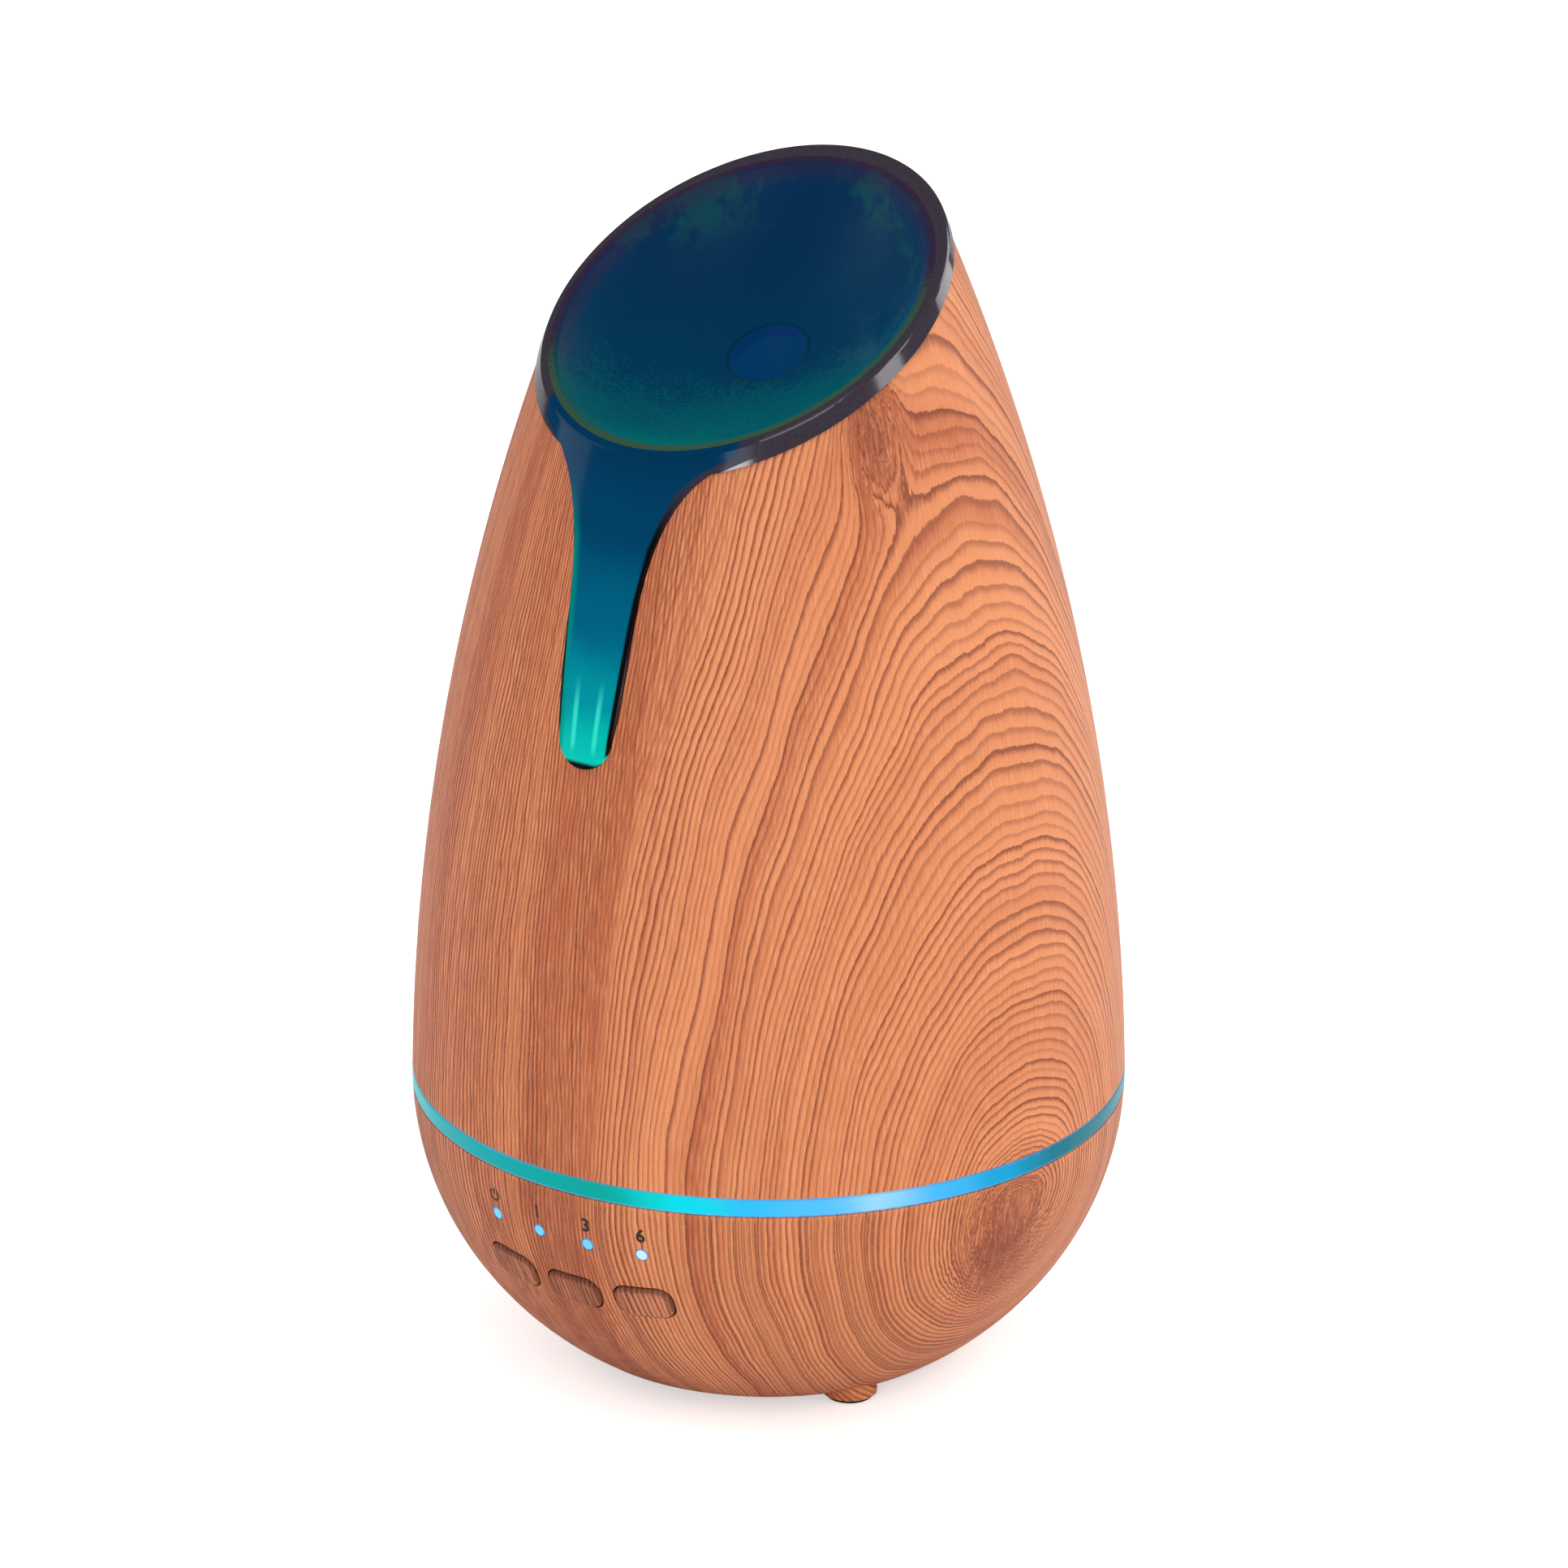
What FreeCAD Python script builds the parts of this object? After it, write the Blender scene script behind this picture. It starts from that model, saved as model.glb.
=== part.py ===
"""Cool mist humidifier: an egg-shaped table-top ultrasonic humidifier with a slanted mist outlet.

Millimetres. Z is up, the origin is on the table under the body's axis, and the front, where the
keys and the drip-shaped light strip are, faces -Y. Each function below makes one sub-part.
"""
import FreeCAD
import Part
import math
import os

V = FreeCAD.Vector
X = V(1, 0, 0)
Y = V(0, 1, 0)
Z = V(0, 0, 1)
ORIGIN = V(0, 0, 0)
REACH = 150.0              # longer than anything it has to cut through
TOUCH = 0.01               # nearer than this counts as on a surface

# Body: the outside is a bowl, a light ring and a tall cover, all turned about the same axis.
BODY_R = 65.0
RING_Z = 52.0              # middle of the light ring
RING_H = 3.4
BOWL_DEPTH = 60.6          # vertical semi-axis of the bowl's elliptical profile
BOWL_FLOOR_Z = 2.8
BOWL_WALL = 2.4
COVER_ARC_R = 434.0
COVER_LEAN = 1.35          # degrees that the cover's arc leans in where it leaves the ring
COVER_WALL = 2.3
COVER_TOP_Z = 235.0
SEAM_GAP = 0.2

# Mist outlet: a dish let into the slanted top, with a drip running down the front.
SLANT = 28.4               # degrees between the cut and the table
CUT_Z = 200.4              # height of the wood cover's cut on the body's axis
LIP_H = 2.6                # how far the dish's rim stands above the cut
PROUD = 0.5                # how far the rim and the drip stand out of the cover's surface
RIM_ROUND = 0.9
DISH_WALL = 2.2
DISH_CENTRE = 8.2          # from the body's axis towards the front, measured in the cut
DISH_HALF_X = 32.6
DISH_HALF_SLOPE = 36.2
DISH_RISE = 10.0           # the dish's ellipsoid has its centre this far above the rim
DISH_DEPTH = 14.8          # from the rim's plane to the dish's lowest point
HOLE_R = 6.9
HOLE_DOWNHILL = 6.4        # where the body's axis meets the dish's floor, measured in the cut
TIP_Z = 126.9              # bottom end of the drip
TIP_R = 5.3
SLOT_GAP = 0.15
FLANGE_WALL = 1.5
FLANGE_SPREAD = 4.0        # how far the glued flange reaches past the drip's outline
MIST_TUBE_R = 10.3
MIST_TUBE_WALL = 1.5
MIST_TUBE_Z = 152.0

# Tank; its floor plate also closes the bowl.
DECK_Z = 52.3
DECK_R = 62.0
DECK_H = 2.2
COLLAR_R = 61.4
COLLAR_WALL = 2.0
COLLAR_TOP_Z = 59.0
TANK_R_LOW = 52.0          # outside, at the floor
TANK_R_HIGH = 50.2
TANK_WALL = 2.0
TANK_TOP_Z = 112.0
TOWER_AT = V(27.0, 27.0, 0)
TOWER_R = 8.0
TOWER_WALL = 1.8
TOWER_TOP_Z = 104.0
SPIGOT_R = 7.5
SPIGOT_Z = 49.2
BOSS_R = 3.4

# Transducer stack under the middle of the tank.
CUP_R = 17.5
CUP_Z = 46.5
WATER_HOLE_R = 8.0
PIEZO_R = 10.0
PIEZO_Z = 44.5
PIEZO_H = 1.3
SEAL_R = 12.5
SEAL_Z = 43.8
PLATE_R = 16.5
PLATE_Z = 42.0
PLATE_SCREW_CIRCLE_R = 14.5

# Inner lid with its chimney.
LID_R = 53.4
LID_H = 2.0
LID_GAP = 0.2
SKIRT_R = 50.9
SKIRT_Z = 106.0
HOOD_R = 30.0
HOOD_TOP_Z = 150.0
CHIMNEY_R = 8.0
CHIMNEY_WALL = 1.5
CHIMNEY_TOP_Z = 168.0

# Light ring and its gasket.
RING_WALL = 2.6
RING_FLANGE_R = 60.0
RING_FLANGE_H = 1.4
RING_LIP_R = 62.2
RING_LIP_Z = 48.6
RING_EDGE = 0.5

# Feet, posts and the long screws that hold the deck down.
FOOT_CIRCLE_R = 34.0
FOOT_ANGLES = (-60.0, 60.0, 180.0)
FOOT_R = 5.0
FOOT_Z = 0.8
PAD_R = 4.2
PAD_H = 1.6
POST_R = 4.4
POST_TOP_Z = 14.4
SCREW_HEAD_R = 2.7
SCREW_HEAD_Z = 6.0
SCREW_HEAD_H = 2.0
SCREW_R = 1.45
SCREW_TOP_Z = 24.0

# Fan and the duct above it.
FAN_AT = V(8.0, 8.0, 0)
FAN_SIDE = 40.0
FAN_H = 10.0
FAN_Z = 8.2
FAN_BORE_R = 18.4
FAN_HOLE_PITCH = 32.0
ROTOR_R = 17.6
HUB_R = 8.5
HUB_WALL = 1.0
SHAFT_R = 0.95
BEARING_R = 2.6
BLADES = 7
BLADE_PITCH = 35.0
DUCT_WALL = 1.5
DUCT_TOP_Z = 52.1
DUCT_COLLAR_H = 4.0        # straight stretch at each end of the duct
DUCT_FOOT_R = 18.0
DUCT_NECK_R = 7.8
FAN_CORNER = 3.0
VENT_W = 2.4
VENT_STEP = 4.6
VENT_COUNT = 7

# Boards and small screws.
BOARD_T = 1.6
MAIN_Z = 19.0
MAIN_X = 24.0
MAIN_Y = (-42.0, -20.0)
MAIN_HOLES = ((-20.5, -38.5), (20.5, -38.5), (-20.5, -23.5), (20.5, -23.5))
STANDOFF_R = 2.6
SMALL_SCREW_R = 0.95
SMALL_SCREW_L = 4.4
SHORT_SCREW_L = 1.6
SMALL_HEAD_R = 1.9
SMALL_HEAD_H = 1.3
SINK_X = (5.0, 17.0)
SINK_Y = (-33.0, -22.0)
SINK_H = 11.0
SINK_ROOT_H = 3.0
SINK_SLOTS_X = (6.5, 10.0, 13.5)
SINK_SLOT_W = 2.0
COIL_AT = V(-3.0, -26.5, 0)
COIL_R = (4.6, 1.6)
COIL_H = 6.0
CAPACITOR_SPOTS = (V(4.2, -38.0, 0), V(-13.5, -38.0, 0))
CAPACITOR_R = 3.1
CAPACITOR_H = 10.0
CAPACITOR_ROUND = 0.5
CHIP_AT = V(-9.0, -32.0, 0)
CHIP_SIDE = 5.0
CHIP_H = 1.1
LED_BOARD_Z = 48.6
LED_BOARD_R = (48.5, 59.0)
LED_BOARD_HOLE_CIRCLE_R = 51.0
LED_BOARD_HOLE_ANGLES = (30.0, 150.0, 270.0)
LED_SIDE = 5.0
LED_H = 1.4
LED_CIRCLE_R = 56.3
LED_COUNT = 12

# Keys and timer lights, on the front of the bowl.
KEY_X = (-14.0, 0.0, 14.0)
KEY_Z = 29.7
KEY_W = 10.8
KEY_H = 6.8
KEY_CORNER = 2.6
KEY_GAP = 0.35
KEY_PROUD = 0.6            # how far a key's face stands out of the bowl
KEY_ROUND = 0.8            # rounding of the face's edge
KEY_BACK = 6.8             # all depths here are measured from the bowl's surface at the middle key
KEY_FLANGE_FRONT = 5.4
KEY_FLANGE_SPREAD = 1.8
KEY_FLANGE_GAP = 0.6
PLUNGER_R = 1.65
PLUNGER_DEPTH = 8.6
SWITCH_TOP = 7.6
SWITCH_SIDE = 6.2
PANEL_TOP = 11.0
PANEL_X = 27.5
PANEL_RISE = (-6.0, 14.0)
PANEL_POST_X = 24.5
LIGHT_ANGLES = (-14.2, -4.7, 4.7, 14.2)
LIGHT_Z = 41.0
LIGHT_R = 1.15
LIGHT_GAP = 0.1
LIGHT_BAR = (7.6, 9.2)
LIGHT_ROD_END = 9.6

# Power inlet at the back.
JACK_Z = 24.0
JACK_SIDE = 9.0
JACK_Y = (41.0, 50.4)
JACK_BARREL_R = 4.0
JACK_MOUTH_Y = 54.4
JACK_SEAT_Y = 53.6
JACK_SEAT_R = 5.6
JACK_BOSS_R = 7.2
JACK_BORE_R = 2.9
JACK_BORE_Y = 45.5
JACK_PIN_R = 1.0
JACK_PIN_Y = (43.0, 53.4)

LEAD_R = 1.0
LEAD_BEND_R = 3.0


# ---------------------------------------------------------------- geometry helpers

def bowl_radius(z, inset=0.0):
    """Radius of the bowl's ellipse at height z."""
    share = (z - RING_Z) / (BOWL_DEPTH - inset)
    return (BODY_R - inset) * math.sqrt(1 - share * share)


def cover_radius(z, offset=0.0):
    """Radius of the cover's arc at height z, with the arc moved outwards by offset."""
    lean = math.radians(COVER_LEAN)
    centre_x = BODY_R - COVER_ARC_R * math.cos(lean)
    centre_z = RING_Z - COVER_ARC_R * math.sin(lean)
    return centre_x + math.sqrt((COVER_ARC_R + offset) ** 2 - (z - centre_z) ** 2)


def at(radius, angle, z=0.0):
    """A point at that radius; angle 0 is the front (-Y) and grows towards +X."""
    a = math.radians(angle)
    return V(radius * math.sin(a), -radius * math.cos(a), z)


def turned(edges):
    """Solid of revolution about Z from a closed outline in the XZ plane."""
    return Part.Face(Part.Wire(edges)).revolve(ORIGIN, Z, 360)


def turned_outline(*rz):
    """Solid of revolution from (radius, z) corners."""
    points = [V(r, 0, z) for r, z in rz]
    return turned([Part.LineSegment(a, b).toShape() for a, b in zip(points, points[1:] + points[:1])])


def disc(radius, z_low, z_high, centre=ORIGIN):
    return Part.makeCylinder(radius, z_high - z_low, V(centre.x, centre.y, z_low))


def ring(r_out, r_in, z_low, z_high, centre=ORIGIN):
    return disc(r_out, z_low, z_high, centre).cut(disc(r_in, z_low, z_high, centre))


def box(x_low, x_high, y_low, y_high, z_low, z_high):
    return Part.makeBox(x_high - x_low, y_high - y_low, z_high - z_low, V(x_low, y_low, z_low))


def block(centre, width, depth, z_low, z_high):
    """Box centred on a point in plan."""
    half_w, half_d = width / 2, depth / 2
    return box(centre.x - half_w, centre.x + half_w, centre.y - half_d, centre.y + half_d, z_low, z_high)


def rounded_plate(width, height, corner, z_low, z_high):
    """Plate parallel to XY, centred on the Z axis, with round upright corners."""
    plate = block(ORIGIN, width, height, z_low, z_high)
    upright = [e for e in plate.Edges if abs(e.tangentAt(e.FirstParameter).z) > 0.5]
    return plate.makeFillet(corner, upright)


def moved(shape, offset):
    copy = shape.copy()
    copy.translate(offset)
    return copy


def united(shapes):
    """All shapes fused into one solid."""
    return shapes[0].fuse(shapes[1:])


def edges_where(shape, test):
    """Edges whose two ends and middle all pass the test."""
    picked = []
    for edge in shape.Edges:
        middle = (edge.FirstParameter + edge.LastParameter) / 2
        points = [edge.valueAt(t) for t in (edge.FirstParameter, middle, edge.LastParameter)]
        if all(test(p) for p in points):
            picked.append(edge)
    return picked


def group(shapes):
    """Separate solids kept side by side in one node."""
    return Part.makeCompound(shapes)


def screw(head_r, head_z, head_h, shank_r, tip_z, centre):
    """Upright screw with its head below; the hexagon is the driver's recess."""
    head = disc(head_r, head_z, head_z + head_h, centre)
    shank = disc(shank_r, head_z, tip_z, centre)
    corners = [V(centre.x, centre.y, head_z) + at(head_r * 0.5, 60 * i) for i in range(7)]
    socket = Part.Face(Part.makePolygon(corners)).extrude(Z * (head_h * 0.6))
    return head.fuse(shank).cut(socket)


def bowl_solid(inset, floor_z, top_z):
    """Solid inside the bowl's ellipse moved in by inset, between two heights."""
    depth = BOWL_DEPTH - inset
    ellipse = Part.Ellipse(V(BODY_R - inset, 0, RING_Z), V(0, 0, RING_Z - depth), V(0, 0, RING_Z))
    start, end = (math.asin((RING_Z - z) / depth) for z in (top_z, floor_z))
    side = Part.ArcOfEllipse(ellipse, start, end)
    corners = [side.EndPoint, V(0, 0, floor_z), V(0, 0, top_z), side.StartPoint]
    lines = [Part.LineSegment(a, b).toShape() for a, b in zip(corners, corners[1:])]
    return turned([side.toShape()] + lines)


def cover_solid(offset, floor_z=RING_Z, top_z=COVER_TOP_Z):
    """Solid inside the cover's arc moved out by offset, between two heights."""
    low, middle, high = (V(cover_radius(z, offset), 0, z) for z in (floor_z, (floor_z + top_z) / 2, top_z))
    corners = [high, V(0, 0, top_z), V(0, 0, floor_z), low]
    lines = [Part.LineSegment(a, b).toShape() for a, b in zip(corners, corners[1:])]
    return turned([Part.Arc(low, middle, high).toShape()] + lines)


def lead(*points):
    """Round insulated lead: straight runs joined by tangent arcs of LEAD_BEND_R."""
    edges = []
    start = points[0]
    for corner, after in zip(points[1:-1], points[2:]):
        incoming = (corner - start).normalize()
        outgoing = (after - corner).normalize()
        turn = incoming.getAngle(outgoing)
        setback = LEAD_BEND_R * math.tan(turn / 2)
        bend_start = corner - incoming * setback
        bend_end = corner + outgoing * setback
        inward = (outgoing - incoming).normalize()
        middle = corner + inward * (LEAD_BEND_R / math.cos(turn / 2) - LEAD_BEND_R)
        edges += [Part.makeLine(start, bend_start), Part.Arc(bend_start, middle, bend_end).toShape()]
        start = bend_end
    edges.append(Part.makeLine(start, points[-1]))
    section = Part.makeCircle(LEAD_R, points[0], points[1] - points[0])
    return Part.Wire(edges).makePipeShell([Part.Wire(section)], True, True)


# ---------------------------------------------------------------- the slanted cut

CUT_NORMAL = V(0, -math.sin(math.radians(SLANT)), math.cos(math.radians(SLANT)))
DOWNHILL = V(0, -math.cos(math.radians(SLANT)), -math.sin(math.radians(SLANT)))


def tilted(shape, lift=0.0, downhill=0.0):
    """Moves a shape drawn about the origin onto the cut, where Z is its normal and -Y is downhill."""
    copy = shape.copy()
    copy.rotate(ORIGIN, X, SLANT)
    copy.translate(V(0, 0, CUT_Z) + CUT_NORMAL * lift + DOWNHILL * downhill)
    return copy


def above_cut(lift=0.0, height=REACH):
    """Slab parallel to the cut, from lift to lift + height above it."""
    return tilted(box(-REACH, REACH, -REACH, REACH, 0, height), lift)


def drip_prism(grow=0.0):
    """The drip's front outline, made wider by grow and pushed through the front of the body."""
    flare = [(TIP_R, TIP_Z + TIP_R), (6.9, 156.0), (8.2, 165.0), (12.4, 175.0), (22.0, 181.6)]
    right = [V(x + grow, 0, z) for x, z in flare]
    right[-1].z -= grow
    left = [V(-p.x, 0, p.z) for p in right]
    sides = []
    for points in (right, left):
        side = Part.BSplineCurve()
        side.interpolate(points)
        sides.append(side.toShape())
    tip = Part.Arc(left[0], V(0, 0, TIP_Z - grow), right[0]).toShape()
    top = [left[-1], V(left[-1].x, 0, COVER_TOP_Z), V(right[-1].x, 0, COVER_TOP_Z), right[-1]]
    lines = [Part.makeLine(a, b) for a, b in zip(top, top[1:])]
    wire = Part.Wire(Part.__sortEdges__(sides + lines + [tip]))
    return Part.Face(wire).extrude(Y * -REACH)


def dish_ellipsoid(grow=0.0):
    """The dish's hollow: its section at the rim is DISH_HALF_X by DISH_HALF_SLOPE."""
    height = DISH_RISE + DISH_DEPTH
    share = math.sqrt(1 - (DISH_RISE / height) ** 2)
    stretch = FreeCAD.Matrix()
    stretch.scale(DISH_HALF_X / share + grow, DISH_HALF_SLOPE / share + grow, height + grow)
    return tilted(Part.makeSphere(1.0).transformGeometry(stretch), LIP_H + DISH_RISE, DISH_CENTRE)


# ---------------------------------------------------------------- cover

def outer_cover():
    """Wood-grained shell: open at the ring, cut off on a slant, with a slot for the drip."""
    floor_z = RING_Z + RING_H / 2 + SEAM_GAP
    shell = cover_solid(0, floor_z).cut(cover_solid(-COVER_WALL, floor_z))
    shell = shell.cut(above_cut()).cut(drip_prism(SLOT_GAP))
    return united([shell] + rest_ribs())


def rest_ribs():
    """Four ribs inside the cover that stand on the tank's collar."""
    half_width, top_z = 1.0, 78.0
    bar = box(-half_width, half_width, COLLAR_R - COLLAR_WALL, BODY_R, COLLAR_TOP_Z + SEAM_GAP, top_z)
    bar = bar.common(cover_solid(-COVER_WALL / 2))
    ribs = []
    for angle in (45, 135, 225, 315):
        rib = bar.copy()
        rib.rotate(ORIGIN, Z, angle)
        ribs.append(rib)
    return ribs


def drip_dish():
    """See-through tinted moulding: rim, dish, drip and the flange glued behind the cover."""
    skin = cover_solid(PROUD)
    rim = skin.common(above_cut(0, LIP_H))
    inside = cover_solid(-COVER_WALL - FLANGE_WALL)
    drip = skin.common(drip_prism()).cut(inside).cut(above_cut(LIP_H))
    behind = cover_solid(-COVER_WALL - SLOT_GAP / 2).cut(inside)
    flange = behind.common(drip_prism(FLANGE_SPREAD)).cut(above_cut(LIP_H / 2))
    rim_flange = behind.common(above_cut(-FLANGE_SPREAD, FLANGE_SPREAD + LIP_H / 2))
    bowl = dish_ellipsoid(DISH_WALL).cut(above_cut(LIP_H / 2))
    bore = tilted(Part.makeCylinder(HOLE_R, REACH), -REACH / 2, HOLE_DOWNHILL)
    body = united([rim, drip, flange, rim_flange, bowl]).cut(dish_ellipsoid()).cut(bore)
    lip = V(0, 0, CUT_Z) + CUT_NORMAL * LIP_H
    return body.makeFillet(RIM_ROUND, edges_where(body, lambda p: abs((p - lip).dot(CUT_NORMAL)) < TOUCH))


def mist_tube():
    """Tube glued under the dish's hole; it slips over the inner lid's chimney."""
    tube = ring(MIST_TUBE_R, MIST_TUBE_R - MIST_TUBE_WALL, MIST_TUBE_Z, CUT_Z)
    return tube.cut(dish_ellipsoid(DISH_WALL + 0.02))


def inner_lid():
    """Splash lid on the tank: a flat flange and a cone, open at the top."""
    low_z = TANK_TOP_Z + LID_GAP
    flat_z = low_z + LID_H
    bore_r = CHIMNEY_R - CHIMNEY_WALL
    return turned_outline((LID_R, low_z), (LID_R, flat_z), (HOOD_R, flat_z), (CHIMNEY_R, HOOD_TOP_Z),
                          (bore_r, HOOD_TOP_Z), (HOOD_R - LID_H, low_z))


def lid_chimney():
    """Tube on top of the lid's cone."""
    return ring(CHIMNEY_R, CHIMNEY_R - CHIMNEY_WALL, HOOD_TOP_Z, CHIMNEY_TOP_Z)


def lid_skirt():
    """Ring glued under the lid's edge that keeps it centred on the tank."""
    return ring(LID_R, SKIRT_R, SKIRT_Z, TANK_TOP_Z + LID_GAP)


# ---------------------------------------------------------------- light ring, deck and tank

def light_ring():
    """Frosted ring between bowl and cover, with a flange under the deck and a lip inside the bowl."""
    low_z, high_z = RING_Z - RING_H / 2, RING_Z + RING_H / 2
    inner_r = BODY_R - RING_WALL
    flange_z = low_z + RING_FLANGE_H
    body = turned_outline((BODY_R, low_z), (BODY_R, high_z), (inner_r, high_z), (inner_r, flange_z),
                          (RING_FLANGE_R, flange_z), (RING_FLANGE_R, RING_LIP_Z), (RING_LIP_R, RING_LIP_Z),
                          (RING_LIP_R, low_z))
    edges = [e for e in body.Edges if e.BoundBox.XMax > BODY_R - 0.01 and e.BoundBox.ZLength < 0.01]
    return body.makeFillet(RING_EDGE, edges)


def deck_gasket():
    flange_z = RING_Z - RING_H / 2 + RING_FLANGE_H
    return ring(DECK_R, RING_FLANGE_R + 0.3, flange_z, DECK_Z)


def water_tank():
    """Tapered wall of the tank, welded on the floor plate."""
    floor_z = DECK_Z + DECK_H
    return turned_outline((TANK_R_LOW, floor_z), (TANK_R_HIGH, TANK_TOP_Z),
                          (TANK_R_HIGH - TANK_WALL, TANK_TOP_Z), (TANK_R_LOW - TANK_WALL, floor_z))


def tank_floor():
    """Round plate that is the tank's floor and closes the bowl, with holes for the cup and the air tower."""
    plate = disc(DECK_R, DECK_Z, DECK_Z + DECK_H)
    return plate.cut([disc(CUP_R, DECK_Z, DECK_Z + DECK_H), disc(SPIGOT_R, DECK_Z, DECK_Z + DECK_H, TOWER_AT)])


def cover_collar():
    """Ring on the floor plate that centres the cover."""
    return ring(COLLAR_R, COLLAR_R - COLLAR_WALL, DECK_Z + DECK_H, COLLAR_TOP_Z)


def transducer_cup():
    """Shallow well in the tank's floor over the transducer."""
    floor_z = CUP_Z + DECK_H
    cup = disc(CUP_R, CUP_Z, DECK_Z + DECK_H).cut(disc(CUP_R - TANK_WALL, floor_z, DECK_Z + DECK_H))
    pilots = [disc(SMALL_SCREW_R, CUP_Z, CUP_Z + 1.8, p) for p in plate_screw_spots()]
    return cup.cut([disc(WATER_HOLE_R, CUP_Z, floor_z)] + pilots)


def air_tower():
    """Tube that carries the fan's air up through the tank's floor to above the water."""
    floor_z = DECK_Z + DECK_H
    tube = disc(TOWER_R, floor_z, TOWER_TOP_Z, TOWER_AT).fuse(disc(SPIGOT_R, SPIGOT_Z, floor_z, TOWER_AT))
    return tube.cut(disc(TOWER_R - TOWER_WALL, SPIGOT_Z, TOWER_TOP_Z, TOWER_AT))


def deck_posts():
    """Screw posts under the tank's floor: three long ones for the body, three short ones for the lights."""
    posts = [ring(BOSS_R, SCREW_R, POST_TOP_Z, SCREW_TOP_Z + 1, at(FOOT_CIRCLE_R, a))
             .fuse(disc(BOSS_R, SCREW_TOP_Z + 1, DECK_Z, at(FOOT_CIRCLE_R, a))) for a in FOOT_ANGLES]
    peg_z, tip_z = LED_BOARD_Z + BOARD_T, LED_BOARD_Z + BOARD_T + SHORT_SCREW_L + 0.1
    pegs = [ring(STANDOFF_R, SMALL_SCREW_R, peg_z, tip_z, p).fuse(disc(STANDOFF_R, tip_z, DECK_Z, p))
            for p in light_board_spots()]
    return group(posts + pegs)


def light_board_spots():
    return [at(LED_BOARD_HOLE_CIRCLE_R, a) for a in LED_BOARD_HOLE_ANGLES]


# ---------------------------------------------------------------- transducer

def plate_screw_spots():
    return [at(PLATE_SCREW_CIRCLE_R, angle) for angle in (60, 180, 300)]


def transducer_disc():
    return disc(PIEZO_R, PIEZO_Z, PIEZO_Z + PIEZO_H)


def transducer_seal():
    """Rubber ring with a groove that holds the disc by its edge."""
    return ring(SEAL_R, WATER_HOLE_R, SEAL_Z, CUP_Z).cut(transducer_disc())


def transducer_plate():
    """Metal plate that presses the seal against the cup, with a raised rim round the seal."""
    plate = ring(PLATE_R, WATER_HOLE_R + 1, PLATE_Z, CUP_Z).cut(disc(SEAL_R, SEAL_Z, CUP_Z))
    return plate.cut([disc(SMALL_SCREW_R, PLATE_Z, CUP_Z, p) for p in plate_screw_spots()])


def transducer_screws():
    head_z = PLATE_Z - SMALL_HEAD_H
    return group([screw(SMALL_HEAD_R, head_z, SMALL_HEAD_H, SMALL_SCREW_R, CUP_Z + 1.6, p)
                  for p in plate_screw_spots()])


# ---------------------------------------------------------------- fan

def fan_corners():
    half = FAN_HOLE_PITCH / 2
    return [FAN_AT + V(sx * half, sy * half, 0) for sx in (-1, 1) for sy in (-1, 1)]


def fan_frame():
    """Square frame with a motor plate on four struts and the bearing tube."""
    strut_w, plate_h, shaft_gap = 2.4, 1.2, 0.06
    frame = moved(rounded_plate(FAN_SIDE, FAN_SIDE, FAN_CORNER, FAN_Z, FAN_Z + FAN_H), FAN_AT)
    frame = frame.cut(disc(FAN_BORE_R, FAN_Z, FAN_Z + FAN_H, FAN_AT))
    struts = [block(FAN_AT, FAN_BORE_R * 2 + 1, strut_w, FAN_Z, FAN_Z + plate_h),
              block(FAN_AT, strut_w, FAN_BORE_R * 2 + 1, FAN_Z, FAN_Z + plate_h)]
    motor = disc(HUB_R, FAN_Z, FAN_Z + plate_h, FAN_AT)
    tube = disc(BEARING_R, FAN_Z, FAN_Z + FAN_H * 0.7, FAN_AT)
    holes = [disc(SCREW_R, FAN_Z, FAN_Z + FAN_H, p) for p in fan_corners()]
    bearing = disc(SHAFT_R + shaft_gap, FAN_Z + plate_h, FAN_Z + FAN_H, FAN_AT)
    return united([frame, motor, tube] + struts).cut(holes + [bearing])


def fan_stator():
    """Four wound poles round the bearing tube."""
    low_z, high_z, pole_w = FAN_Z + 2.0, FAN_Z + 6.6, 3.6
    reach = (HUB_R - HUB_WALL) * 2 - 1.6
    poles = [block(FAN_AT, reach, pole_w, low_z, high_z), block(FAN_AT, pole_w, reach, low_z, high_z)]
    core = disc(BEARING_R + 1.4, low_z, high_z, FAN_AT)
    return united([core] + poles).cut(disc(BEARING_R, low_z, high_z, FAN_AT))


def fan_rotor():
    """Cup-shaped hub on a shaft, with seven pitched blades."""
    low_z, high_z = FAN_Z + 1.6, FAN_Z + FAN_H - 0.6
    cup = disc(HUB_R, low_z, high_z, FAN_AT)
    cup = cup.cut(disc(HUB_R - HUB_WALL, low_z, high_z - HUB_WALL * 1.4, FAN_AT))
    shaft = disc(SHAFT_R, FAN_Z + 1.5, high_z - HUB_WALL, FAN_AT)
    blade_r = HUB_R - HUB_WALL / 2
    middle_z = (low_z + high_z) / 2
    half_chord, half_t = 5.2, 0.4
    swept = ring(ROTOR_R, blade_r, low_z, high_z, FAN_AT)
    blades = []
    for i in range(BLADES):
        blade = box(0, ROTOR_R + 1, -half_chord, half_chord, -half_t, half_t)
        blade.rotate(ORIGIN, X, BLADE_PITCH)
        blade.rotate(ORIGIN, Z, 360.0 * i / BLADES)
        blades.append(moved(blade, FAN_AT + Z * middle_z).common(swept))
    return united([cup, shaft] + blades)


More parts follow.
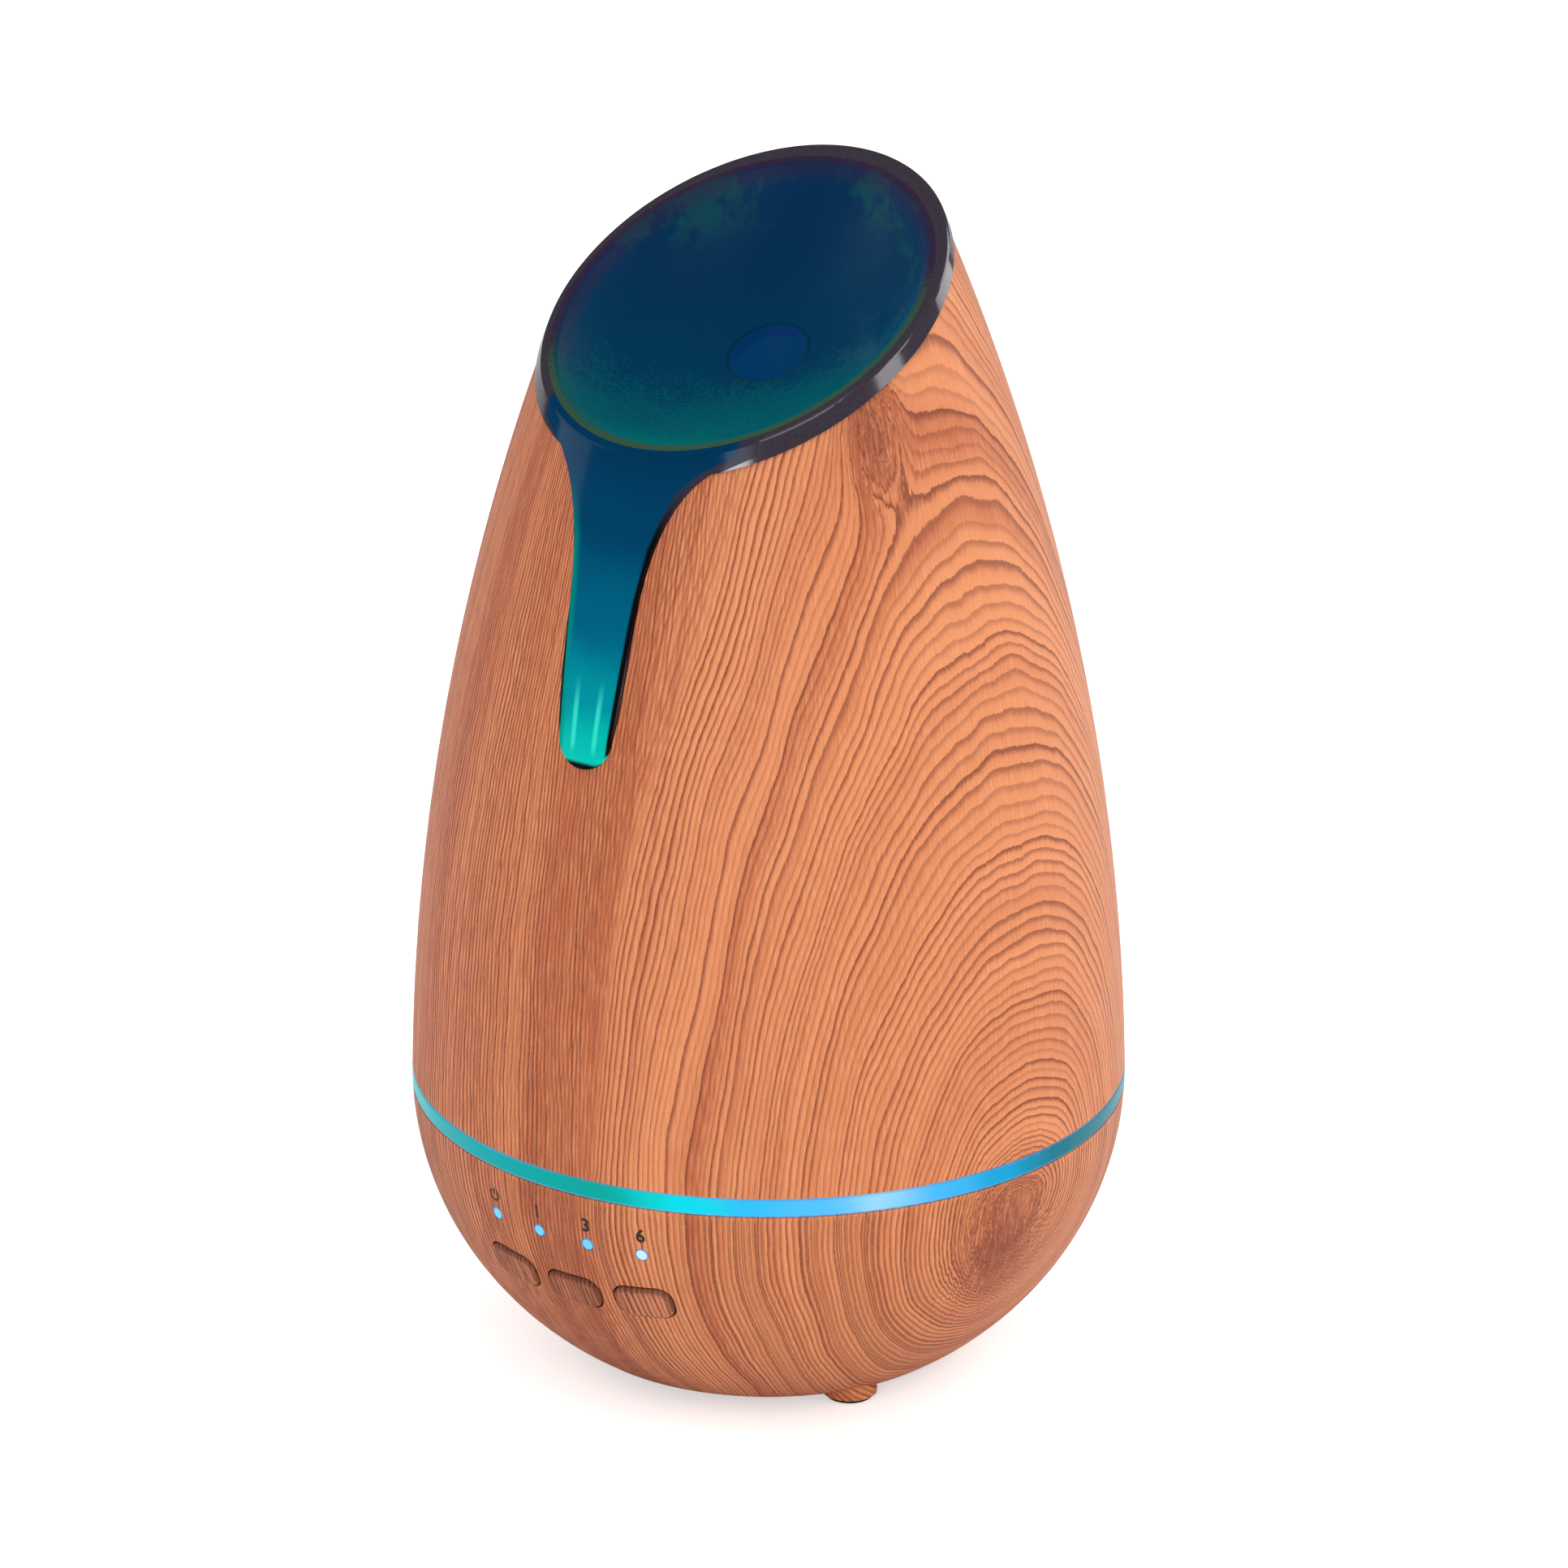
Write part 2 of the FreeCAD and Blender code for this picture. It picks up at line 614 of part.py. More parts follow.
def fan_screws():
    """Four screws from above, through the duct's flange and the fan into the bowl's standoffs."""
    head_z = FAN_Z + FAN_H + DUCT_WALL
    screws = []
    for spot in fan_corners():
        one = screw(SCREW_HEAD_R, -head_z - SCREW_HEAD_H, SCREW_HEAD_H, SCREW_R, -FAN_Z + 2.0, spot)
        screws.append(one.mirror(ORIGIN, Z))
    return group(screws)


def funnel(extra):
    """Oblique funnel from the fan's bore to the tower's spigot, with a straight collar at each end."""
    foot_r, neck_r = DUCT_FOOT_R + extra, DUCT_NECK_R + extra
    foot_z, neck_z = FAN_Z + FAN_H + DUCT_COLLAR_H, DUCT_TOP_Z - DUCT_COLLAR_H
    foot = Part.makeCircle(foot_r, FAN_AT + Z * foot_z, Z)
    neck = Part.makeCircle(neck_r, TOWER_AT + Z * neck_z, Z)
    loft = Part.makeLoft([Part.Wire(foot), Part.Wire(neck)], True, True)
    return loft.fuse([disc(foot_r, FAN_Z + FAN_H, foot_z, FAN_AT), disc(neck_r, neck_z, DUCT_TOP_Z, TOWER_AT)])


def air_duct():
    """Flange on the fan and the funnel up to the tank's air tower."""
    low_z, flange_z = FAN_Z + FAN_H, FAN_Z + FAN_H + DUCT_WALL
    flange = moved(rounded_plate(FAN_SIDE, FAN_SIDE, FAN_CORNER, low_z, flange_z), FAN_AT)
    holes = [disc(SCREW_R, low_z, flange_z, p) for p in fan_corners()]
    return flange.fuse(funnel(DUCT_WALL)).cut([funnel(0.0)] + holes)


# ---------------------------------------------------------------- bowl

def bowl_supports():
    """Everything that stands up inside the bowl: posts, standoffs, panel posts and the jack's seat."""
    posts = [disc(POST_R, 0, POST_TOP_Z, at(FOOT_CIRCLE_R, a)) for a in FOOT_ANGLES]
    posts += [disc(STANDOFF_R, 0, MAIN_Z, V(x, y, 0)) for x, y in MAIN_HOLES]
    posts += [disc(STANDOFF_R, 0, FAN_Z, p) for p in fan_corners()]
    posts += [on_panel(Part.makeCylinder(STANDOFF_R, PANEL_TOP), x, 0, PANEL_TOP)
              for x in (-PANEL_POST_X, PANEL_POST_X)]
    seat = Part.makeCylinder(JACK_BOSS_R, REACH, V(0, JACK_Y[1] + 0.1, JACK_Z), Y)
    cradle = box(-JACK_SIDE / 2, JACK_SIDE / 2, JACK_Y[0], JACK_Y[1], 0, JACK_Z - JACK_SIDE / 2)
    inside = bowl_solid(BOWL_WALL / 2, BOWL_FLOOR_Z + BOWL_WALL / 2, RING_Z - RING_H)
    return [support.common(inside) for support in posts + [seat, cradle]]


def bowl_holes():
    """Everything cut through the bowl."""
    holes = []
    for angle in FOOT_ANGLES:
        centre = at(FOOT_CIRCLE_R, angle)
        holes += [disc(PAD_R, 0, PAD_H, centre), disc(SCREW_R, 0, POST_TOP_Z, centre),
                  disc(SCREW_HEAD_R + 0.1, 0, SCREW_HEAD_Z + SCREW_HEAD_H, centre)]
    holes += [disc(SMALL_SCREW_R, MAIN_Z - SMALL_SCREW_L, MAIN_Z, V(x, y, 0)) for x, y in MAIN_HOLES]
    holes += [disc(SCREW_R, FAN_Z - 2.2, FAN_Z, p) for p in fan_corners()]
    holes += [on_panel(Part.makeCylinder(SMALL_SCREW_R, 3.0), x, 0, PANEL_TOP)
              for x in (-PANEL_POST_X, PANEL_POST_X)]
    aperture = rounded_plate(KEY_W + KEY_GAP * 2, KEY_H + KEY_GAP * 2, KEY_CORNER + KEY_GAP,
                             -KEY_BACK, KEY_BACK)
    holes += [on_panel(aperture, x, 0, 0) for x in KEY_X]
    bore = Part.makeCylinder(LIGHT_R + LIGHT_GAP, PANEL_TOP)
    holes += [on_panel(bore, x, rise, LIGHT_BAR[0]) for x, rise in light_spots()]
    holes.append(Part.makeCylinder(JACK_SEAT_R, REACH, V(0, JACK_SEAT_Y, JACK_Z), Y))
    holes.append(Part.makeCylinder(JACK_BARREL_R + 0.1, REACH, V(0, JACK_Y[1], JACK_Z), Y))
    return holes + vent_slots()


def vent_slots():
    """Air slots in the bowl's floor under the fan."""
    slots = []
    for i in range(VENT_COUNT):
        offset = (i - (VENT_COUNT - 1) / 2) * VENT_STEP
        length = 2 * math.sqrt((FAN_BORE_R - 2) ** 2 - offset ** 2)
        slot = rounded_plate(length, VENT_W, VENT_W / 2 - 0.05, 0, BOWL_FLOOR_Z + BOWL_WALL)
        slots.append(moved(slot, FAN_AT + Y * offset))
    return slots


def base_bowl():
    """Wood-grained bowl with its three stub feet, apertures, posts and vents."""
    rim_z = RING_Z - RING_H / 2
    outside = bowl_solid(0, BOWL_FLOOR_Z, rim_z)
    inside = bowl_solid(BOWL_WALL, BOWL_FLOOR_Z + BOWL_WALL, rim_z)
    feet = [disc(FOOT_R, FOOT_Z, BOWL_FLOOR_Z + BOWL_WALL, at(FOOT_CIRCLE_R, a)) for a in FOOT_ANGLES]
    shell = united([outside] + feet).cut(inside)
    return united([shell] + bowl_supports()).cut(bowl_holes())


def foot_pads():
    return group([disc(PAD_R, 0, PAD_H, at(FOOT_CIRCLE_R, a)) for a in FOOT_ANGLES])


def base_screws():
    return group([screw(SCREW_HEAD_R, SCREW_HEAD_Z, SCREW_HEAD_H, SCREW_R, SCREW_TOP_Z,
                        at(FOOT_CIRCLE_R, a)) for a in FOOT_ANGLES])


# ---------------------------------------------------------------- front panel

SLOPE = math.degrees(math.atan2((RING_Z - KEY_Z) / BOWL_DEPTH ** 2, bowl_radius(KEY_Z) / BODY_R ** 2))
PANEL_ORIGIN = V(0, -bowl_radius(KEY_Z), KEY_Z)
PANEL_OUT = V(0, -math.cos(math.radians(SLOPE)), -math.sin(math.radians(SLOPE)))
PANEL_UP = V(0, -math.sin(math.radians(SLOPE)), math.cos(math.radians(SLOPE)))


def on_panel(shape, x, rise, depth):
    """Moves a shape drawn about the origin so its Z points out of the bowl, from depth behind its surface."""
    copy = shape.copy()
    copy.rotate(ORIGIN, X, 90 + SLOPE)
    copy.translate(PANEL_ORIGIN + X * x + PANEL_UP * rise - PANEL_OUT * depth)
    return copy


def light_spots():
    """Sideways place and rise of each timer light on the panel."""
    points = [at(bowl_radius(LIGHT_Z), angle, LIGHT_Z) for angle in LIGHT_ANGLES]
    return [(p.x, (p - PANEL_ORIGIN).dot(PANEL_UP)) for p in points]


def key(x):
    """Key with a proud, round-edged face and a flange that keeps it inside the bowl."""
    stem = on_panel(rounded_plate(KEY_W, KEY_H, KEY_CORNER, 0, KEY_BACK * 2), x, 0, KEY_BACK)
    stem = stem.common(bowl_solid(-KEY_PROUD, BOWL_FLOOR_Z, RING_Z))
    outline = edges_where(stem, lambda p: abs(math.hypot(p.x, p.y) - bowl_radius(p.z, -KEY_PROUD)) < TOUCH)
    stem = stem.makeFillet(KEY_ROUND, outline)
    spread = KEY_FLANGE_SPREAD
    flange = rounded_plate(KEY_W + spread, KEY_H + spread, KEY_CORNER, 0, KEY_BACK - KEY_FLANGE_FRONT)
    behind = bowl_solid(BOWL_WALL + KEY_FLANGE_GAP, BOWL_FLOOR_Z + BOWL_WALL * 2, RING_Z)
    return stem.fuse(on_panel(flange, x, 0, KEY_BACK).common(behind))


def plunger(x):
    return on_panel(Part.makeCylinder(PLUNGER_R, PLUNGER_DEPTH - KEY_BACK), x, 0, PLUNGER_DEPTH)


def tact_switches():
    """Square switch bodies, each with a bore for its plunger."""
    height, corner, bore_depth = PANEL_TOP - SWITCH_TOP, 0.6, 2.2
    body = rounded_plate(SWITCH_SIDE, SWITCH_SIDE, corner, 0, height)
    body = body.cut(disc(PLUNGER_R + 0.15, height - bore_depth, height))
    return group([on_panel(body, x, 0, PANEL_TOP) for x in KEY_X])


def key_board():
    low, high = PANEL_RISE
    board = box(-PANEL_X, PANEL_X, low, high, 0, BOARD_T)
    holes = [disc(SMALL_SCREW_R, 0, BOARD_T, V(x, 0, 0)) for x in (-PANEL_POST_X, PANEL_POST_X)]
    return on_panel(board.cut(holes), 0, 0, PANEL_TOP + BOARD_T)


def indicator_leds():
    width, depth, height = 3.2, 2.0, 1.2
    body = block(ORIGIN, width, depth, 0, height)
    return group([on_panel(body, x, rise, PANEL_TOP) for x, rise in light_spots()])


def light_pipes():
    """Clear bar behind the bowl with four rods that end flush in its surface."""
    front, back = LIGHT_BAR
    rises = [rise for _, rise in light_spots()]
    middle = (min(rises) + max(rises)) / 2
    half_w, half_h, half_leg = 19.0, 2.2, 0.8
    bar = box(-half_w, half_w, middle - half_h, middle + half_h, 0, back - front)
    legs = [box(x - half_leg, x + half_leg, middle - half_h, middle + half_h, back - PANEL_TOP, 0)
            for x in (-half_w + half_leg, 0, half_w - half_leg)]
    rods = [on_panel(Part.makeCylinder(LIGHT_R, REACH), x, rise, LIGHT_ROD_END)
            for x, rise in light_spots()]
    skin = bowl_solid(0.0, BOWL_FLOOR_Z, RING_Z)
    return united([on_panel(united([bar] + legs), 0, 0, back)] + [rod.common(skin) for rod in rods])


# ---------------------------------------------------------------- boards

BOARD_TOP_Z = MAIN_Z + BOARD_T


def main_board():
    board = box(-MAIN_X, MAIN_X, MAIN_Y[0], MAIN_Y[1], MAIN_Z, MAIN_Z + BOARD_T)
    return board.cut([disc(SMALL_SCREW_R, MAIN_Z, MAIN_Z + BOARD_T, V(x, y, 0)) for x, y in MAIN_HOLES])


def board_screws():
    """Small screws of the main board, the light board and the key board."""
    length = BOARD_T + SMALL_SCREW_L - 0.4
    upright = screw(SMALL_HEAD_R, -SMALL_HEAD_H, SMALL_HEAD_H, SMALL_SCREW_R, length, ORIGIN)
    flipped = upright.mirror(ORIGIN, Z)
    short = screw(SMALL_HEAD_R, -SMALL_HEAD_H, SMALL_HEAD_H, SMALL_SCREW_R,
                  BOARD_T + SHORT_SCREW_L, ORIGIN)
    screws = [moved(flipped, V(x, y, MAIN_Z + BOARD_T)) for x, y in MAIN_HOLES]
    screws += [moved(short, p + Z * LED_BOARD_Z) for p in light_board_spots()]
    screws += [on_panel(short, x, 0, PANEL_TOP + BOARD_T) for x in (-PANEL_POST_X, PANEL_POST_X)]
    return group(screws)


def heat_sink():
    """Aluminium block with four fins on the driver transistor."""
    body = box(*SINK_X, *SINK_Y, BOARD_TOP_Z, BOARD_TOP_Z + SINK_H)
    root_z = BOARD_TOP_Z + SINK_ROOT_H
    return body.cut([box(x, x + SINK_SLOT_W, *SINK_Y, root_z, BOARD_TOP_Z + SINK_H) for x in SINK_SLOTS_X])


def inductor():
    return ring(COIL_R[0], COIL_R[1], BOARD_TOP_Z, BOARD_TOP_Z + COIL_H, COIL_AT)


def capacitors():
    cans = [disc(CAPACITOR_R, BOARD_TOP_Z, BOARD_TOP_Z + CAPACITOR_H, spot) for spot in CAPACITOR_SPOTS]
    return group([can.makeFillet(CAPACITOR_ROUND, [can.Edges[0]]) for can in cans])


def control_chip():
    return block(CHIP_AT, CHIP_SIDE, CHIP_SIDE, BOARD_TOP_Z, BOARD_TOP_Z + CHIP_H)


def led_board():
    board = ring(LED_BOARD_R[1], LED_BOARD_R[0], LED_BOARD_Z, LED_BOARD_Z + BOARD_T)
    return board.cut([disc(SMALL_SCREW_R, LED_BOARD_Z, LED_BOARD_Z + BOARD_T, p)
                      for p in light_board_spots()])


def rgb_leds():
    """Square lights on the ring board, turned to face outwards."""
    low_z = LED_BOARD_Z + BOARD_T
    chips = []
    for i in range(LED_COUNT):
        chip = block(V(0, -LED_CIRCLE_R, 0), LED_SIDE, LED_SIDE, low_z, low_z + LED_H)
        chip.rotate(ORIGIN, Z, 360.0 * i / LED_COUNT)
        chips.append(chip)
    return group(chips)


# ---------------------------------------------------------------- power inlet

def along_y(radius, y_low, y_high):
    return Part.makeCylinder(radius, y_high - y_low, V(0, y_low, JACK_Z), Y)


def dc_jack():
    half = JACK_SIDE / 2
    body = box(-half, half, JACK_Y[0], JACK_Y[1], JACK_Z - half, JACK_Z + half)
    body = body.fuse(along_y(JACK_BARREL_R, JACK_Y[1], JACK_MOUTH_Y))
    return body.cut([along_y(JACK_BORE_R, JACK_BORE_Y, JACK_MOUTH_Y), jack_pin()])


def jack_pin():
    """Centre pin, with a thinner root pressed into the jack's body."""
    root = along_y(JACK_PIN_R * 0.7, JACK_PIN_Y[0], JACK_BORE_Y)
    return root.fuse(along_y(JACK_PIN_R, JACK_BORE_Y, JACK_PIN_Y[1]))


# ---------------------------------------------------------------- leads

# Each lead's corners are placed by hand, clear of the fan, the posts and the parts on the boards.

def jack_lead():
    side_x = -JACK_SIDE / 2
    return lead(V(side_x, 45, JACK_Z), V(-20, 45, JACK_Z), V(-37, 22, 27), V(-34, -31, 27),
                V(-18, -31, 27), V(-18, -31, BOARD_TOP_Z))


def fan_lead():
    side_x = FAN_AT.x - FAN_SIDE / 2
    return lead(V(side_x, 4, 14), V(-18, 4, 14), V(-16, -12, 25.5), V(-14, -28, 25.5),
                V(-14, -28, BOARD_TOP_Z))


def transducer_lead():
    return lead(V(0, -3, PIEZO_Z), V(0, -3, 37), V(0, -34, 37), V(0, -34, BOARD_TOP_Z))


def light_lead():
    return lead(V(10, -50.5, LED_BOARD_Z), V(10, -50.5, 45), V(10, -38, 38), V(10, -38, BOARD_TOP_Z))


def key_lead():
    back = PANEL_ORIGIN - PANEL_OUT * (PANEL_TOP + BOARD_T)
    start = V(-8, back.y, back.z)
    knee = start + PANEL_OUT * ((start.y + 38) / -PANEL_OUT.y)
    return lead(start, knee, V(-8, -38, BOARD_TOP_Z))


# ---------------------------------------------------------------- build

PARTS = {
    "outer_cover": outer_cover,
    "drip_dish": drip_dish,
    "mist_tube": mist_tube,
    "inner_lid": inner_lid,
    "lid_skirt": lid_skirt,
    "lid_chimney": lid_chimney,
    "light_ring": light_ring,
    "deck_gasket": deck_gasket,
    "water_tank": water_tank,
    "tank_floor": tank_floor,
    "cover_collar": cover_collar,
    "transducer_cup": transducer_cup,
    "air_tower": air_tower,
    "deck_posts": deck_posts,
    "transducer_disc": transducer_disc,
    "transducer_seal": transducer_seal,
    "transducer_plate": transducer_plate,
    "transducer_screws": transducer_screws,
    "fan_frame": fan_frame,
    "fan_stator": fan_stator,
    "fan_rotor": fan_rotor,
    "fan_screws": fan_screws,
    "air_duct": air_duct,
    "base_bowl": base_bowl,
    "foot_pads": foot_pads,
    "base_screws": base_screws,
    "key_left": lambda: key(KEY_X[0]),
    "key_middle": lambda: key(KEY_X[1]),
    "key_right": lambda: key(KEY_X[2]),
    "plunger_left": lambda: plunger(KEY_X[0]),
    "plunger_middle": lambda: plunger(KEY_X[1]),
    "plunger_right": lambda: plunger(KEY_X[2]),
    "tact_switches": tact_switches,
    "key_board": key_board,
    "indicator_leds": indicator_leds,
    "light_pipes": light_pipes,
    "main_board": main_board,
    "board_screws": board_screws,
    "heat_sink": heat_sink,
    "inductor": inductor,
    "capacitors": capacitors,
    "control_chip": control_chip,
    "led_board": led_board,
    "rgb_leds": rgb_leds,
    "dc_jack": dc_jack,
    "jack_pin": jack_pin,
    "jack_lead": jack_lead,
    "fan_lead": fan_lead,
    "transducer_lead": transducer_lead,
    "light_lead": light_lead,
    "key_lead": key_lead,
}

os.makedirs("parts", exist_ok=True)
for name, make in PARTS.items():
    make().exportStep("parts/%s.step" % name)
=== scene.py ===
"""Looks of the cool mist humidifier: camera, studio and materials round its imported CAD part."""
import math

import bmesh
import bpy
from mathutils import Matrix, Vector


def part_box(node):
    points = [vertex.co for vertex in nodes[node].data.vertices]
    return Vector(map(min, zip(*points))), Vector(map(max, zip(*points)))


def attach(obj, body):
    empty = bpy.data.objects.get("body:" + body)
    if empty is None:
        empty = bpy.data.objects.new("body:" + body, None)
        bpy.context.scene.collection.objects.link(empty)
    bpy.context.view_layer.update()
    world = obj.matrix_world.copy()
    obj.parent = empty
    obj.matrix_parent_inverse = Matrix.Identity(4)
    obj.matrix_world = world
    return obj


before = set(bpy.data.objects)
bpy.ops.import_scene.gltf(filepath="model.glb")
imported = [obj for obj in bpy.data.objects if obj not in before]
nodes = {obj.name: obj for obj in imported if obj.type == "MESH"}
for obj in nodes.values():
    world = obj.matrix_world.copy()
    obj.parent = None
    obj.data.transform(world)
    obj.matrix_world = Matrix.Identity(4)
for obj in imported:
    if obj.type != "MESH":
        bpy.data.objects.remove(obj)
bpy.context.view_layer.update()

# The camera, studio and pieces are in metres and the materials in millimetres; azimuths are in degrees.
BODY_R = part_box("light_ring")[1].x
RING_Z = (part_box("outer_cover")[0].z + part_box("base_bowl")[1].z) / 2


# ---------------------------------------------------------------- camera and studio

CAMERA_AZIMUTH, CAMERA_ELEVATION, CAMERA_DISTANCE = 34.5, 23.1, 1.2
CAMERA_RAISED, CAMERA_SWUNG = math.radians(2.424), math.radians(0.134)   # from facing the ring's middle
LENS = 150.7                  # mm, on a 36 mm sensor

FILL = 0.83                   # light from all round that falls on dull surfaces
DARK_SURROUNDINGS = 0.05      # what glossy surfaces reflect beside the soft boxes
FLOOR_LIFT = 0.5              # whitens the floor for the camera without lighting the bowl from below
FLOOR_HALF = 6.0
LIGHTS_AIM = Vector((0, 0, RING_Z + 0.05))
# Soft boxes: name, azimuth, elevation, distance, width, height, and power in watts.
SOFT_BOXES = (("key", 34, 52, 1.1, 0.5, 0.6, 1.2),
              ("front", 20, 17, 1.2, 0.22, 0.38, 1.8),
              ("side", 100, 22, 1.1, 0.3, 0.8, 2.2),
              ("left", -65, 24, 1.2, 0.5, 0.8, 2.2),
              ("back", 158, 24, 1.1, 0.5, 0.8, 3.0))


def turned_towards(azimuth, elevation):
    """Unit vector from the body towards a viewer; azimuth 0 is the front and grows towards +X."""
    a, e = math.radians(azimuth), math.radians(elevation)
    return Vector((math.sin(a) * math.cos(e), -math.cos(a) * math.cos(e), math.sin(e)))


def make_camera():
    back = turned_towards(CAMERA_AZIMUTH, CAMERA_ELEVATION)
    right = turned_towards(CAMERA_AZIMUTH + 90, 0)
    facing = Matrix((right, back.cross(right), back)).transposed().to_4x4()
    aim = Matrix.Rotation(CAMERA_RAISED, 4, "X") @ Matrix.Rotation(-CAMERA_SWUNG, 4, "Y")
    data = bpy.data.cameras.new("camera")
    data.lens = LENS
    data.sensor_width = 36
    camera = bpy.data.objects.new("camera", data)
    bpy.context.scene.collection.objects.link(camera)
    camera.matrix_world = Matrix.Translation(Vector((0, 0, RING_Z)) + back * CAMERA_DISTANCE) @ facing @ aim
    bpy.context.scene.camera = camera


def make_soft_box(name, azimuth, elevation, distance, width, height, watts):
    data = bpy.data.lights.new(name, "AREA")
    data.shape = "RECTANGLE"
    data.size, data.size_y = width, height
    data.energy = watts
    light = bpy.data.objects.new(name, data)
    back = turned_towards(azimuth, elevation)
    light.location = LIGHTS_AIM + back * distance
    light.rotation_euler = back.to_track_quat("Z", "Y").to_euler()
    bpy.context.scene.collection.objects.link(light)


def make_world():
    """White to the camera, soft light for dull surfaces, and nearly dark in reflections."""
    world = bpy.data.worlds.new("studio")
    bpy.context.scene.world = world
    world.use_nodes = True
    tree = world.node_tree
    sky = tree.nodes["Background"]
    sky.inputs["Color"].default_value = (1.0, 1.0, 1.0, 1)
    rays = tree.nodes.new("ShaderNodeLightPath")
    seen, reflected = (tree.nodes.new("ShaderNodeMapRange") for _ in range(2))
    tree.links.new(rays.outputs["Is Camera Ray"], seen.inputs["Value"])
    seen.inputs["To Min"].default_value = FILL
    seen.inputs["To Max"].default_value = 1.0
    tree.links.new(rays.outputs["Is Glossy Ray"], reflected.inputs["Value"])
    tree.links.new(seen.outputs["Result"], reflected.inputs["To Min"])
    reflected.inputs["To Max"].default_value = DARK_SURROUNDINGS
    tree.links.new(reflected.outputs["Result"], sky.inputs["Strength"])


def make_floor():
    corners = [(-1, -1), (1, -1), (1, 1), (-1, 1)]
    mesh = bpy.data.meshes.new("floor")
    mesh.from_pydata([(x * FLOOR_HALF, y * FLOOR_HALF, 0) for x, y in corners], [], [(0, 1, 2, 3)])
    floor = bpy.data.objects.new("floor", mesh)
    bpy.context.scene.collection.objects.link(floor)
    paint = Shader("floor_paint")
    paint.set("Base Color", (0.90, 0.90, 0.90))
    paint.set("Roughness", 0.9)
    paint.set("Emission Color", (1.0, 1.0, 1.0))
    seen = Value(paint, paint.node("ShaderNodeLightPath").outputs["Is Camera Ray"])
    paint.set("Emission Strength", seen * FLOOR_LIFT)
    mesh.materials.append(paint.material)


def make_studio():
    """A pale floor under soft light from all round; glossy parts see dark surroundings and soft boxes."""
    bpy.context.scene.view_settings.view_transform = "Standard"
    make_world()
    for box in SOFT_BOXES:
        make_soft_box(*box)
    make_floor()


# ---------------------------------------------------------------- shader helpers

class Value:
    """A shader number that can be written into formulas."""

    def __init__(self, shader, socket):
        self.shader, self.socket = shader, socket

    def op(self, operation, *others):
        node = self.shader.node("ShaderNodeMath", operation=operation)
        for value, plug in zip((self,) + others, node.inputs):
            self.shader.link(value, plug)
        return Value(self.shader, node.outputs[0])

    def __add__(self, other): return self.op("ADD", other)
    def __sub__(self, other): return self.op("SUBTRACT", other)
    def __mul__(self, other): return self.op("MULTIPLY", other)
    def __truediv__(self, other): return self.op("DIVIDE", other)
    def __pow__(self, other): return self.op("POWER", other)
    def __neg__(self): return self.op("MULTIPLY", -1.0)

    def sin(self): return self.op("SINE")
    def cos(self): return self.op("COSINE")
    def abs(self): return self.op("ABSOLUTE")
    def sqrt(self): return self.op("SQRT")
    def fract(self): return self.op("FRACT")
    def floor(self): return self.op("FLOOR")
    def max(self, other): return self.op("MAXIMUM", other)
    def min(self, other): return self.op("MINIMUM", other)
    def atan2(self, other): return self.op("ARCTAN2", other)

    def squared(self):
        return self * self

    def between(self, low, high):
        """low where this is 0 and high where it is 1."""
        return self * (high - low) + low

    def hump(self, half_width):
        """1 where this is 0, fading out over half_width to each side."""
        return (self.squared() * (-1.0 / half_width ** 2)).op("EXPONENT")

    def step(self, low, high, start=0.0, end=1.0):
        """Smooth step from start to end as this goes from low to high."""
        node = self.shader.node("ShaderNodeMapRange", interpolation_type="SMOOTHSTEP")
        for value, name in zip((self, low, high, start, end),
                               ("Value", "From Min", "From Max", "To Min", "To Max")):
            self.shader.link(value, node.inputs[name])
        return Value(self.shader, node.outputs["Result"])


